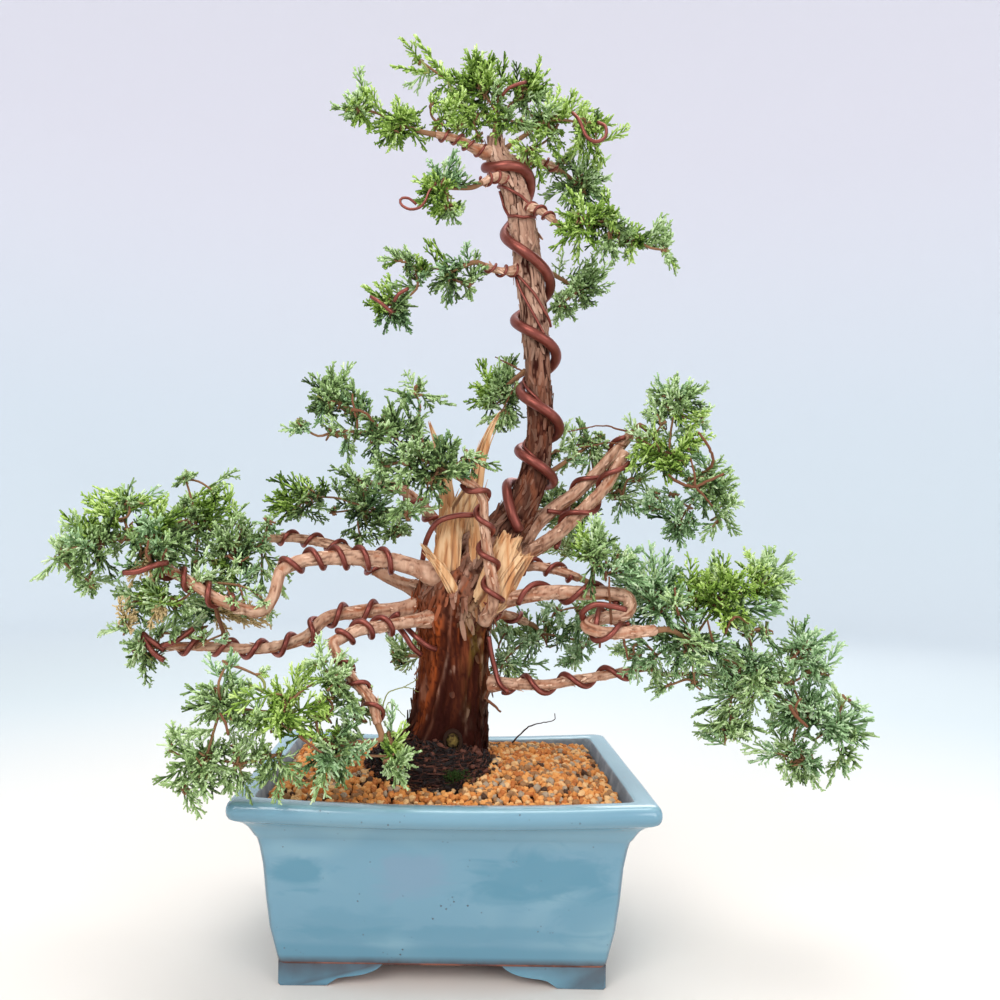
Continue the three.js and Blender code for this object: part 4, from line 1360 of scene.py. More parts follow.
    def stains(self, grid: BarkGrid, leader: Array, flank: Array) -> tuple[Array, Array, Array, Array]:
        """Stains the bark.

        Args:
            grid: the surface.
            leader: 1 on the leader, 0 below it.
            flank: how strong the rusty flank is.

        Returns:
            How stained, rusty, olive and damp each point is.
        """
        height, left, plate, shaggy = grid.height, grid.left, grid.plate, grid.shaggy
        low = 1 - step(*self.foot_to, height + 26 * plate)
        mid = 1 - 0.25 * step(234, 262, height + 22 * plate) - 0.75 * step(276, 312, height + 16 * plate)
        mid = mid * (1 - low)
        shag = step(0.24, 0.42, plate + 0.16 * np.abs(left) ** 3)
        stained = np.clip((mid + low) * (1 - 0.5 * shag) + leader * 0.9 * (1 - step(400, 520, height)), 0, 1)
        rusty = (np.clip(left * 1.4 - 0.35, 0, 1) * (1 - step(250, 275, height)) * step(150, 190, height) * 0.85
                 * step(-0.25, 0.3, grid.flute))
        rusty = np.maximum(rusty, 0.55 * mid * step(0.2, 0.45, shaggy) * (1 - shag))
        rusty = np.maximum(rusty, 0.9 * flank * (1 - step(0.1, 0.4, np.abs(shaggy))))
        olive = mid * np.clip(grid.front - 0.2, 0, 1) * step(0.1, 0.45, -left) * 0.75 * step(-0.25, 0.25, plate)
        damp = np.clip(1 - step(158, 226, height + 30 * shaggy), 0, 1) * 0.95 * (1 - 0.6 * flank)
        return stained, rusty, olive, damp

    def collars(self, frames: Frames, base: Array, towards: Array) -> Array:
        """Swells the bark round the boughs that leave it.

        Args:
            frames: the trunk's frames.
            base: the radius at each of them.
            towards: the outward direction at each point of the grid.

        Returns:
            How far it swells at each point.
        """
        surface = frames.points[:, None] + base[..., None] * towards
        swell = np.zeros(towards.shape[:2])
        for limb in LIMBS:
            start = limb.route[0]
            rows = np.abs(frames.points[:, 2] - start[2]) < self.collar_reach
            if limb.lead or not rows.any():
                continue
            line = Route(limb.route).even(np.linspace(0, 0.5, 24))
            apart = np.linalg.norm(surface[rows][:, :, None] - line, axis=-1).min(axis=-1)
            bump = self.collar * limb.swell * np.exp(-(apart / (limb.foot + 3)) ** 2)
            swell[rows] = np.maximum(swell[rows], bump * np.minimum(1, base[rows] / 20))
        return swell

    def peel(self, shape: Shape, frames: Frames, rings: Array, values: dict[str, Array]) -> None:
        """Lifts flakes of bark off the surface.

        Args:
            shape: where they go.
            frames: the trunk's frames.
            rings: the surface's points, ring by ring.
            values: the values that the bark keeps, ring by ring.
        """
        rng = np.random.default_rng(self.seed)
        rows = rng.integers(12, self.steps - 12, self.tries)
        columns = rng.integers(0, self.sides, self.tries)
        height = rings[rows, columns, 2]
        upper = step(300, 330, height)
        wanted = 0.05 + 0.8 * step(228, 262, height) * (1 - upper) + 0.3 * upper
        side_on = np.abs(rings[rows, columns, 0] - frames.points[rows, 0]) / 28 > 0.72
        wanted = np.maximum(wanted, 0.65 * side_on * (height > 150))
        chosen = rng.random(len(rows)) < wanted * 0.62
        rows, columns = rows[chosen], columns[chosen]
        flakes = Flakes.on(rings, frames, rows, columns, 0.25, rng, (0.62, 0.38))
        full = np.clip(np.linalg.norm(flakes.spot - frames.points[rows], axis=1) / 26, 0.4, 1)
        length = rng.uniform(4, 15, len(rows)) * (0.55 + 0.45 * full)
        width = rng.uniform(0.7, 2.1, len(rows)) * (0.6 + 0.4 * full)
        lift = rng.uniform(0.2, 2.0, len(rows)) ** 1.5 * full
        kept = {name: row[rows, columns] for name, row in values.items()}
        kept["crack"] = kept["crack"] * 0.2
        kept["stained"] = kept["stained"] * (0.92 - 0.08 * step(225, 255, flakes.spot[:, 2]))
        kept["plate"] = np.clip(kept["plate"] + rng.uniform(-0.15, 0.45, len(rows)), 0, 1)
        flakes.lay(shape, (length, width, lift), (0.8, 1.0, 0.9, 0.45), 0.1, 0.22, **kept)

    def dress(self) -> None:
        """Makes the trunk's piece."""
        frames, radius, values = self.surface()
        angle = np.broadcast_to(circle(self.sides), radius.shape)
        rings = frames.points[:, None] + radius[..., None] * frames.around(angle)
        rings[..., 2] = np.maximum(rings[..., 2], self.route[0][2] - 0.5)
        shape = Shape()
        closed_tube(shape, rings, **values)
        self.peel(shape, frames, rings, values)
        shape.build("trunk_bark", [BARK], "bark", ["trunk"])


@dataclass(frozen=True)
class Splinter:
    """One torn blade of deadwood: its route, half widths along it and how flat it is."""

    route: tuple[Point, ...]
    halves: tuple[float, ...]
    flat: float
    torn: float = 0.16


@dataclass
class Deadwood:
    """The broken first trunk: standing splinters of bare wood."""

    sides: int = 60
    steps: int = 80
    sunk: float = 7.0
    fibres: int = 14
    # How boxy a blade is in section, and how far out its loose fibres bend at even steps.
    boxy: float = 3.2
    bend_out: tuple[float, ...] = (0.86, 0.96, 1.02, 1.06)
    pieces: tuple[tuple[str, tuple[Splinter, ...]], ...] = (
        ("deadwood_spike", (Splinter(
            ((1, 2, 268), (3, 2, 300), (10, 2, 328), (19, 1, 348), (26, 0, 378), (33, -1, 396), (40, -2, 408)),
            (12, 12, 10.5, 9, 5.6, 3.6, 0.8), 0.42, 0.14),
            Splinter(((-3, -21, 272), (0, -19, 300), (5, -12, 334)), (11, 10, 6.5), 0.3, 0.34))),
        ("deadwood_rear_spike", (Splinter(
            ((-2, 17, 276), (0, 17, 323), (-6, 19, 370), (-17, 20, 403)), (9, 8, 5, 0.8), 0.5, 0.1),)),
        ("deadwood_stub", (
            Splinter(((27, -25, 254), (36, -25, 282), (49, -25, 314)), (10.5, 10.5, 8), 0.5, 0.3),
            Splinter(((33, -26, 254), (44, -26, 278), (60, -26, 302)), (9.5, 10, 7), 0.55, 0.34))),
        ("deadwood_shard", (Splinter(((8, -29, 263), (-4, -31, 284), (-21, -32, 305)), (4.5, 4, 0.7), 0.6),)),
        ("deadwood_inner", (Splinter(((20, -16, 276), (21, -16, 310), (20, -16, 333)), (5, 4.5, 2.2), 0.6),)),
    )

    def blade(self, shape: Shape, splinter: Splinter, seed: int) -> None:
        """Adds one splinter, grooved along its grain and torn at its tip.

        Args:
            shape: where it goes.
            splinter: its route and sizes.
            seed: the seed of its small differences.
        """
        rng = np.random.default_rng(seed)
        shares = np.linspace(0, 1, self.steps)
        route = Route(splinter.route)
        ends = 1 - splinter.torn * rng.random(self.sides) ** 1.4
        ends = (ends + np.roll(ends, 1)) / 2
        line = route.even(shares)
        trunk = Route(Trunk.route).at(np.linspace(0, 0.5, 300))
        heart = trunk[np.argmin(np.abs(trunk[:, 2] - line[0, 2]))]
        line = line + unit(heart - line[0]) * self.sunk * (1 - step(0.0, 0.24, shares))[:, None]
        frames = Frames.of(line)
        grain = np.array([0.0, 1.0, 0.0])
        facing = np.abs(frames.side @ grain) > 0.7
        flat = np.where(facing[:, None], [splinter.flat, 1.0], [1.0, splinter.flat])
        half = np.interp(shares, np.linspace(0, 1, len(splinter.halves)), splinter.halves)
        half = half * (0.5 + 0.5 * step(-0.02, 0.2, shares))
        groove = Noise(seed + 1)
        spin = np.broadcast_to(circle(self.sides), (self.steps, self.sides))
        rise = np.broadcast_to((shares * route.length())[:, None], spin.shape)
        cut = groove.wound(spin, rise, 3.4, 0.02)
        fine = groove.wound(spin, rise, 3.4 * 3.1, 0.02 * 1.4, 2)
        deep = np.clip(step(0.1, 0.4, -cut) + 0.6 * step(0.25, 0.5, -fine), 0, 1)
        boxy = (np.abs(np.cos(spin)) ** self.boxy + np.abs(np.sin(spin)) ** self.boxy) ** (-1 / self.boxy)
        half = half[:, None]
        reach = half * boxy * (1 + 0.12 * cut + 0.04 * fine) - 1.2 * deep * np.minimum(1, half / 4)
        run = shares[:, None] * ends[None]
        middles = np.stack([np.interp(run, shares, frames.points[:, k]) for k in range(3)], axis=-1)
        rings = (middles + (np.cos(spin) * reach * flat[:, :1])[..., None] * frames.side[:, None]
                 + (np.sin(spin) * reach * flat[:, 1:])[..., None] * frames.other[:, None])
        broken = 0.25 * (1 - step(0.0, 0.06, shares))[:, None]
        closed_tube(shape, rings, smooth=False, groove=np.clip(deep + broken, 0, 1))
        self.fray(shape, route, rings - middles, rng)

    def fray(self, shape: Shape, route: Route, off: Array, rng: np.random.Generator) -> None:
        """Adds loose fibres to a splinter.

        Args:
            shape: where they go.
            route: the splinter's route.
            off: how far each point of its surface lies from the middle.
            rng: the source of small differences.
        """
        count = self.fibres
        begin = rng.uniform(0.35, 0.82, count)
        end = np.minimum(begin + rng.uniform(0.1, 0.22, count), 1)
        at = begin[:, None] + (end - begin)[:, None] * np.linspace(0, 1, 4)
        centre = route.even(at.ravel()).reshape(count, 4, 3)
        slot = rng.integers(0, self.sides, count)
        row = np.minimum((begin * self.steps).astype(int), self.steps - 1)
        lines = centre + off[row, slot][:, None] * np.array(self.bend_out)[:, None]
        bundle(shape, lines, np.tile([0.8, 0.7, 0.5, 0.12], (count, 1)), 4, groove=rng.uniform(0, 0.4, count))

    def dress(self) -> None:
        """Makes a piece for each standing part."""
        for index, (name, splinters) in enumerate(self.pieces):
            shape = Shape()
            for k, splinter in enumerate(splinters):
                self.blade(shape, splinter, 60 + 5 * index + k)
            shape.build(f"{name}_wood", [WOOD], "deadwood", [name])


@dataclass(frozen=True)
class Limb:
    """One bough: its name, radius at foot and tip, route, the bend that leads in, and how its foot swells."""

    name: str
    foot: float
    tip: float
    route: tuple[Point, ...]
    lead: tuple[Point, ...] = ()
    swell: float = 1.0

    def radius(self, shares: Array) -> Array:
        """Gives the radius at shares of its length."""
        return self.foot + (self.tip - self.foot) * shares


LIMBS = (
    Limb("left_main", 7, 4.6, ((2, -12, 276), (-40, -24, 290), (-76, -36, 293), (-107, -46, 290),
         (-122, -50, 282))),
    Limb("left_return", 4.5, 3.6, ((-121, -52, 279), (-124, -60, 264), (-131, -64, 255), (-158, -66, 262),
         (-184, -66, 277), (-206, -64, 287)), ((-107, -46, 290), (-120, -49, 283))),
    Limb("left_rear", 5.5, 3.2, ((-8, 8, 262), (-50, 16, 278), (-85, 24, 299), (-125, 29, 307),
         (-146, 30, 306))),
    Limb("left_low", 6, 3, ((-10, 0, 255), (-48, -7, 252), (-67, -11, 251), (-92, -18, 246), (-105, -22, 233),
         (-136, -28, 224), (-175, -34, 226), (-208, -38, 226))),
    Limb("front_low", 5, 4, ((0, -10, 249), (-41, -48, 245), (-64, -68, 242), (-77, -78, 236))),
    Limb("front_drop", 4, 3.2, ((-78, -80, 235), (-65, -92, 215), (-49, -102, 200),
         (-44, -110, 186)), ((-64, -68, 242), (-76, -77, 237))),
    Limb("up_front", 5, 3.2, ((28, -18, 246), (34, -34, 262), (29, -39, 299), (26, -41, 322), (25, -43, 337),
         (17, -47, 347), (9, -50, 351)), swell=0.35),
    Limb("left_mid", 6, 3.6, ((12, 12, 282), (-12, 34, 324), (-40, 32, 348), (-62, 28, 352))),
    Limb("right_lower_arm", 6.5, 4, ((40, 4, 284), (83, 5, 311), (102, 4, 329), (121, 2, 349), (137, -1, 378))),
    Limb("right_upper_arm", 6.5, 4, ((50, 12, 302), (84, 19, 333), (104, 20, 348), (119, 18, 364),
         (144, 13, 393))),
    Limb("right_mid", 4.5, 3, ((28, 4, 282), (66, -14, 288), (80, -22, 286), (98, -34, 280))),
    Limb("right_main", 6, 4.8, ((22, -8, 255), (61, -33, 267), (79, -41, 270), (96, -47, 270), (119, -50, 270),
         (129, -51, 268))),
    Limb("right_hook", 4.8, 4, ((131, -54, 261), (124, -61, 255), (106, -66, 253), (97, -72, 249),
         (106, -78, 245), (126, -76, 245), (146, -70, 246)), ((119, -50, 270), (129, -51, 268))),
    Limb("right_rear_low", 4.5, 3, ((16, 6, 248), (50, 26, 247), (66, 40, 240))),
    Limb("right_lowest", 5, 3, ((14, 0, 196), (56, -13, 198), (77, -20, 199), (99, -26, 204), (117, -30, 208),
         (140, -34, 213))),
    Limb("top_left", 4, 2.6, ((36, -3, 604), (14, -8, 609), (3, -10, 614), (-14, -13, 616))),
    Limb("upper_left", 3.2, 2.4, ((46, -2, 587), (32, -16, 583), (21, -24, 575))),
    Limb("top_right_rear", 3.4, 2.4, ((40, 0, 602), (60, 10, 606), (74, 17, 608), (84, 22, 605))),
    Limb("upper_right", 3.2, 2.4, ((53, -3, 566), (66, -16, 558), (77, -24, 547))),
    Limb("mid_left", 3.2, 2.4, ((59, 0, 519), (38, -12, 513), (24, -19, 515))),
)
LIMB_OF = {limb.name: limb for limb in LIMBS}


@dataclass
class Boughs:
    """The wired boughs, each a tapering limb with ridged, slightly twisted bark."""

    limbs: tuple[Limb, ...] = LIMBS
    sides: int = 26
    spacing: float = 1.5
    collar: float = 0.5
    flakes_per_mm: float = 0.55
    first_seed: int = 200

    def bark(self, shape: Shape, limb: Limb, seed: int) -> None:
        """Adds one bough's bark and its loose flakes.

        Args:
            shape: where they go.
            limb: the bough.
            seed: the seed of its small differences.
        """
        rng = np.random.default_rng(seed)
        route = Route(limb.lead + limb.route)
        length = route.length()
        steps = max(20, round(length / self.spacing))
        shares = np.linspace(0, 1, steps)
        frames = Frames.of(route.even(shares))
        angle = np.broadcast_to(circle(self.sides), (steps, self.sides))
        run = np.broadcast_to((shares * length)[:, None], angle.shape)
        spun = angle + run * rng.uniform(0.012, 0.03) * rng.choice([-1, 1])
        seams = np.abs(Noise(seed).wound(spun, run, 1.9, 0.022))
        crack = 0.7 * (1 - step(0.0, 0.08, seams))
        plate = Noise(seed + 1).wound(spun, run, 2.0, 0.035)
        knots = Noise(seed + 2).wound(spun, run, 0.7, 0.055)
        base = limb.radius(shares)
        if not limb.lead:
            apart = (shares - self.leaves(frames.points)) * length
            base = base * (1 + self.collar * limb.swell * np.exp(-(apart / 9) ** 2))
        fine = np.clip(base / 5, 0.55, 1)[:, None]
        radius = base[:, None] * (1 + 0.09 * knots) + fine * (0.55 * plate - 0.6 * crack)
        radius[-1] *= 0.72
        rings = frames.points[:, None] + radius[..., None] * frames.around(angle)
        clean = dict.fromkeys(("stained", "olive", "damp"), np.zeros_like(crack))
        rusty = 0.35 * step(0.1, 0.5, -plate)
        closed_tube(shape, rings, crack=crack, plate=0.5 + 0.55 * plate, rusty=rusty, **clean)
        count = round(length * self.flakes_per_mm)
        rows = rng.integers(1, steps - 4, count)
        columns = rng.integers(0, self.sides, count)
        flakes = Flakes.on(rings, frames, rows, columns, 0.22, rng)
        reach, lift = rng.uniform(2, 7, count), rng.uniform(0, 1, count) ** 3 * 1.5
        wide = rng.uniform(0.35, 0.95, count)
        clean = dict.fromkeys(("crack", "stained", "rusty", "olive", "damp"), np.zeros(count))
        flakes.lay(shape, (reach, wide, lift), (0.8, 1.0, 0.4), 0.05, 0.16,
                   plate=rng.uniform(0.4, 1.2, count), **clean)

    def leaves(self, points: Array) -> float:
        """Finds where a bough comes out of the trunk.

        Args:
            points: the bough's middle line.

        Returns:
            The share of the bough's length.
        """
        fine = np.linspace(0, 1, 300)
        trunk = Route(Trunk.route).at(fine)
        apart = np.linalg.norm(points[:, None] - trunk[None], axis=2)
        nearest = np.argmin(apart, axis=1)
        outside = apart[np.arange(len(points)), nearest] > Trunk().radius(fine[nearest])
        return float(np.argmax(outside)) / len(points)

    def dress(self) -> None:
        """Makes one piece for each bough."""
        for index, limb in enumerate(self.limbs):
            shape = Shape()
            self.bark(shape, limb, self.first_seed + 7 * index)
            node = f"bough_{limb.name}"
            shape.build(f"{node}_bark", [LIMB_BARK], "bough_bark", [node])


# Training wire


@dataclass(frozen=True)
class Winding:
    """A wire wound on the limb of its name: from where to where, turns, first angle, and if it is a node.

    Turns of less than 0 go the other way round.
    """

    name: str
    span: tuple[float, float]
    turns: float
    phase: float
    radius: float = 2.1
    replaced: bool = True


@dataclass
class Wires:
    """All the training wire: heavy on the leader, thinner on the boughs."""

    crossings: tuple[float, ...] = (603, 582, 546, 503, 480, 449, 425, 394, 376, 357, 346, 300)
    last_part: float = 0.6
    heavy: float = 4.0
    gap: float = 0.15
    per_turn: int = 26
    per_half: int = 16
    windings: tuple[Winding, ...] = (
        Winding("left_main", (0.3, 0.96), -5, 40),
        Winding("left_return", (0.42, 0.94), -3, 200),
        Winding("left_low", (0.2, 0.96), 7, 0),
        Winding("front_low", (0.45, 0.96), -3, 90),
        Winding("right_lower_arm", (0.34, 0.95), -2, 90),
        Winding("right_main", (0.34, 0.96), 1.8, 150),
        Winding("right_lowest", (0.24, 0.96), -3.1, 120),
        Winding("left_rear", (0.3, 0.97), 5, 10, 1.7, False),
        Winding("left_mid", (0.4, 0.97), 3, 60, 1.7, False),
        Winding("front_drop", (0.1, 0.95), 3, 0, 1.5, False),
        Winding("up_front", (0.12, 0.97), 4, 300, 2.1, False),
        Winding("right_upper_arm", (0.3, 0.96), -2, 200, 1.9, False),
        Winding("right_mid", (0.35, 0.95), 2.5, 10, 1.7, False),
        Winding("right_hook", (0.1, 0.8), 2, 260, 1.9, False),
        Winding("right_rear_low", (0.3, 0.95), 2, 40, 1.6, False),
        Winding("top_left", (0.2, 0.95), 4, 20, 1.1, False),
        Winding("upper_left", (0.2, 0.95), 3, 100, 1.1, False),
        Winding("top_right_rear", (0.25, 0.95), 3.5, 0, 1.1, False),
        Winding("upper_right", (0.2, 0.95), 3, 60, 1.1, False),
        Winding("mid_left", (0.2, 0.95), 3, 30, 1.1, False),
    )
    thin: float = 1.15
    # Thin windings on the leader: heights and angles, with 180 in front, from the left side on.
    thin_windings: tuple[tuple[tuple[float, float], ...], ...] = (
        ((583, 60), (580, 120), (570, 190), (561, 230)),
        ((578, 90), (566, 92), (557, 120), (554, 180), (556, 235)),
        ((517, 95), (508, 140), (497, 180), (484, 215), (474, 262)),
        ((517, 100), (500, 130), (484, 165), (468, 200), (452, 250)),
        ((452, 255), (444, 300), (440, 360), (436, 420), (428, 470), (418, 520), (408, 560)),
        ((408, 195), (400, 240), (396, 300), (392, 380), (384, 440), (376, 500), (366, 560)),
    )

    # Loose ends and loops: their radius and route.
    ends: tuple[tuple[float, tuple[Point, ...]], ...] = (
        (2.1, ((-19, -16, 292), (-16, -26, 307), (-8, -33, 320), (6, -34, 325), (19, -33, 326),
              (28, -24, 329))),
        (2.1, ((-218, -92, 282), (-208, -93, 283), (-198, -91, 287), (-191, -84, 289))),
        (2.1, ((-205, -50, 228), (-196, -50, 231), (-184, -44, 240))),
        (2.1, ((-205, -44, 224), (-215, -47, 232), (-221, -47, 237), (-216, -48, 228), (-210, -48, 221),
              (-204, -47, 217))),
        (1.0, ((-11, -40, 569), (-17, -50, 558), (-20, -56, 548), (-24, -58, 543), (-31, -58, 542),
              (-37, -57, 546), (-37, -56, 550), (-32, -55, 551), (-26, -54, 547))),
        (1.3, ((88, -30, 626), (92, -36, 618), (98, -40, 603), (104, -40, 600), (111, -38, 604),
              (112, -34, 614), (107, -30, 619))),
        (1.3, ((36, -26, 640), (40, -30, 643), (46, -32, 645), (53, -30, 648))),
        (1.3, ((-58, -52, 481), (-51, -56, 476), (-42, -54, 469))),
        (1.3, ((-41, -52, 478), (-38, -55, 482), (-31, -53, 487))),
        (2.1, ((-38, -30, 244), (-31, -37, 237), (-25, -38, 228), (-19, -34, 222))),
        (2.1, ((-30, -28, 241), (-22, -37, 235), (-14, -38, 229), (-8, -33, 226))),
        (2.1, ((32, -12, 234), (34, -12, 222), (37, -12, 210), (41, -16, 198), (47, -22, 193))),
        (2.1, ((97, -66, 249), (94, -74, 258), (102, -79, 264), (114, -82, 263), (123, -80, 261))),
    )

    def heavy_wire(self) -> None:
        """Winds the heavy wire down the leader, in front from left to right and behind back to the left."""
        trunk = Trunk()
        whole = (len(self.crossings) - 1) * self.per_half
        count = round(whole - (1 - self.last_part) * self.per_half)
        index = np.arange(count + 1)
        marks = np.arange(len(self.crossings))
        heights = np.interp(index / whole * marks[-1], marks, self.crossings)
        padded = np.pad(heights, 3, mode="edge")
        heights = np.array([padded[k:k + 7].mean() for k in range(count + 1)])
        shares = trunk.shares_at(heights)
        frames = Frames.of(Route(trunk.route).at(shares))
        reach = trunk.radius(shares) * (1 + trunk.ribs) + self.heavy + self.gap
        shape = Shape()
        points = frames.off((index / self.per_half + 0.5) * math.pi, reach)
        swept(shape, points, np.full(len(points), self.heavy), 18)
        shape.build("wire_leader", [WIRE], "wire", ["wire_trunk"])

    def thin_wires(self) -> None:
        """Winds the thin wires of the upper twigs round the leader."""
        trunk = Trunk()
        shape = Shape()
        for stops in self.thin_windings:
            marks = np.arange(len(stops))
            bits = np.linspace(0, marks[-1], 14 * len(stops))
            height, degrees = (np.interp(bits, marks, row) for row in np.array(stops).T)
            shares = trunk.shares_at(height)
            reach = trunk.radius(shares) + self.thin + 0.5
            angle = np.radians(degrees - 90)
            out = np.column_stack([-np.cos(angle), -np.sin(angle), np.zeros(len(angle))])
            points = Route(trunk.route).at(shares) + reach[:, None] * out
            swept(shape, points, np.full(len(angle), self.thin), 10)
        shape.build("wire_leader_thin", [WIRE], "wire")

    def loose_ends(self) -> None:
        """Makes the wires' free ends, loops and crossings that lie on no limb."""
        shape = Shape()
        for radius, stops in self.ends:
            route = Route(stops)
            line = route.even(np.linspace(0, 1, max(8, round(route.length() / 2.2))))
            swept(shape, line, np.full(len(line), radius), 10)
        shape.build("wire_loose_ends", [WIRE], "wire")

    def wound(self, winding: Winding) -> None:
        """Makes one bough's wire.

        Args:
            winding: how it is wound.
        """
        limb = LIMB_OF[winding.name]
        count = round(abs(winding.turns) * self.per_turn)
        index = np.arange(count + 1)
        shares = winding.span[0] + (winding.span[1] - winding.span[0]) * index / count
        frames = Frames.of(Route(limb.route).even(shares))
        angle = math.radians(winding.phase) + math.copysign(2 * math.pi / self.per_turn, winding.turns) * index
        points = frames.off(angle, limb.radius(shares) + winding.radius + self.gap)
        shape = Shape()
        swept(shape, points, np.full(len(points), winding.radius), 12)
        node = f"wire_{winding.name}"
        shape.build(f"{node}_coil", [WIRE], "wire", [node] if winding.replaced else [])

    def dress(self) -> None:
        """Makes every wire."""
        self.heavy_wire()
        self.thin_wires()
        self.loose_ends()
        for winding in self.windings:
            self.wound(winding)


# Bare twigs


class Twig(Enum):
    """The looks of a bare twig."""

    BROWN = 0
    GREEN = 1
    DARK = 2


@dataclass
class BareTwigs:
    """Leafless twigs, cut stubs and thin green shoots: by look, the radius at foot and tip, and the route."""

    thin: float = 0.74
    seed: int = 91
    twigs: tuple[tuple[Twig, tuple[tuple[float, float, tuple[Point, ...]], ...]], ...] = (
        (Twig.GREEN, (
            (0.7, 0.4, ((-45, -66, 186), (-41, -62, 198), (-30, -52, 201), (-21, -34, 204))),
            (0.5, 0.3, ((-30, -52, 201), (-25, -46, 199), (-20, -38, 195))),
            (0.6, 0.35, ((-43, -66, 184), (-40, -64, 192), (-35, -58, 187), (-29, -50, 179))))),
        (Twig.DARK, (
            (1.0, 0.5, ((53, 44, 137), (67, 44, 152), (75, 43, 156), (90, 42, 160), (90, 42, 165))),)),
        (Twig.BROWN, (
            (1.8, 1.1, ((29, -12, 187), (35, -14, 183), (42, -16, 177))),
            (1.5, 1.1, ((105, -70, 251), (106, -70, 243), (107, -70, 233))),
            (1.4, 1.0, ((120, -72, 253), (122, -72, 243), (124, -72, 235), (127, -70, 225))),
            (2.0, 2.2, ((-165, -60, 259), (-164, -58, 254), (-163, -50, 244), (-162, -40, 232))),
            (1.6, 1.2, ((195, -20, 363), (196, -26, 365), (196, -30, 370), (192, -32, 379), (185, -30, 390))),
            (1.9, 1.3, ((164, -20, 359), (170, -28, 353), (182, -34, 349), (191, -34, 353), (204, -30, 359))),
            (1.4, 0.9, ((182, -34, 349), (187, -34, 344), (196, -30, 335))),
            (1.4, 0.9, ((182, -34, 349), (181, -34, 360), (179, -31, 370))),
            (1.1, 0.6, ((146, 12, 394), (134, 16, 397), (124, 18, 400), (108, 20, 398), (94, 22, 395))),
            (1.1, 0.6, ((139, 10, 383), (127, 14, 386), (115, 18, 384), (103, 20, 382))),
            (1.3, 0.7, ((63, 4, 436), (58, 8, 440), (49, 14, 446), (36, 20, 454))),
            (1.2, 0.7, ((62, 4, 439), (55, 10, 436), (47, 14, 421), (41, 16, 410))),
            (1.4, 1.0, ((114, -74, 250), (113, -76, 259), (112, -76, 273), (112, -74, 283))),
            (1.2, 0.8, ((111, -66, 280), (111, -66, 290), (110, -64, 303))),
            (1.3, 0.9, ((163, -64, 256), (160, -68, 266), (160, -66, 276))),
            (1.3, 0.9, ((188, -62, 238), (185, -66, 245), (183, -66, 253))),
            (1.5, 0.9, ((197, -60, 243), (199, -66, 252), (203, -66, 256), (213, -62, 251))),
            (1.3, 0.8, ((248, -42, 220), (255, -44, 228), (264, -42, 238))),
            (2.0, 1.4, ((244, -60, 193), (245, -66, 188), (249, -67, 184), (255, -64, 179))),
            (1.4, 0.9, ((248, -64, 186), (246, -66, 194), (250, -64, 199))),
            (1.4, 0.9, ((-199, -96, 290), (-201, -98, 296), (-200, -96, 304))),
            (1.5, 1.0, ((-199, -74, 283), (-194, -84, 293), (-190, -88, 299))),
            (1.3, 0.9, ((-149, -64, 254), (-151, -68, 264), (-155, -66, 272))),
            (1.3, 0.9, ((-143, -64, 254), (-143, -66, 264), (-148, -62, 274))),
            (1.3, 0.8, ((-161, -40, 293), (-152, -42, 289), (-145, -40, 293))),
            (1.3, 0.9, ((-132, -150, 187), (-133, -152, 195), (-137, -150, 200))),
            (1.5, 0.9, ((-90, -140, 185), (-84, -144, 181), (-76, -142, 175))),
            (1.2, 0.8, ((-64, -82, 390), (-66, -84, 399), (-67, -82, 406))),
            (1.6, 1.0, ((-67, -84, 395), (-58, -86, 393), (-52, -82, 387))))),
    )

    def dress(self) -> None:
        """Makes one piece of them all."""
        shape = Shape()
        rng = np.random.default_rng(self.seed)
        for look, foot, tip, stops in ((look, *twig) for look, twigs in self.twigs for twig in twigs):
            route = Route(stops)
            count = max(8, round(route.length() / 2))
            line = route.even(np.linspace(0, 1, count)) + rng.normal(0, 0.18, (count, 3))
            radii = self.thin * np.linspace(foot, tip, count) * rng.uniform(0.88, 1.12, count)
            swept(shape, line, radii, 7, look.value)
        shape.build("bare_twigs", [STUB, GREEN_TWIG, DARK_TWIG], "bough_bark")


# Roots


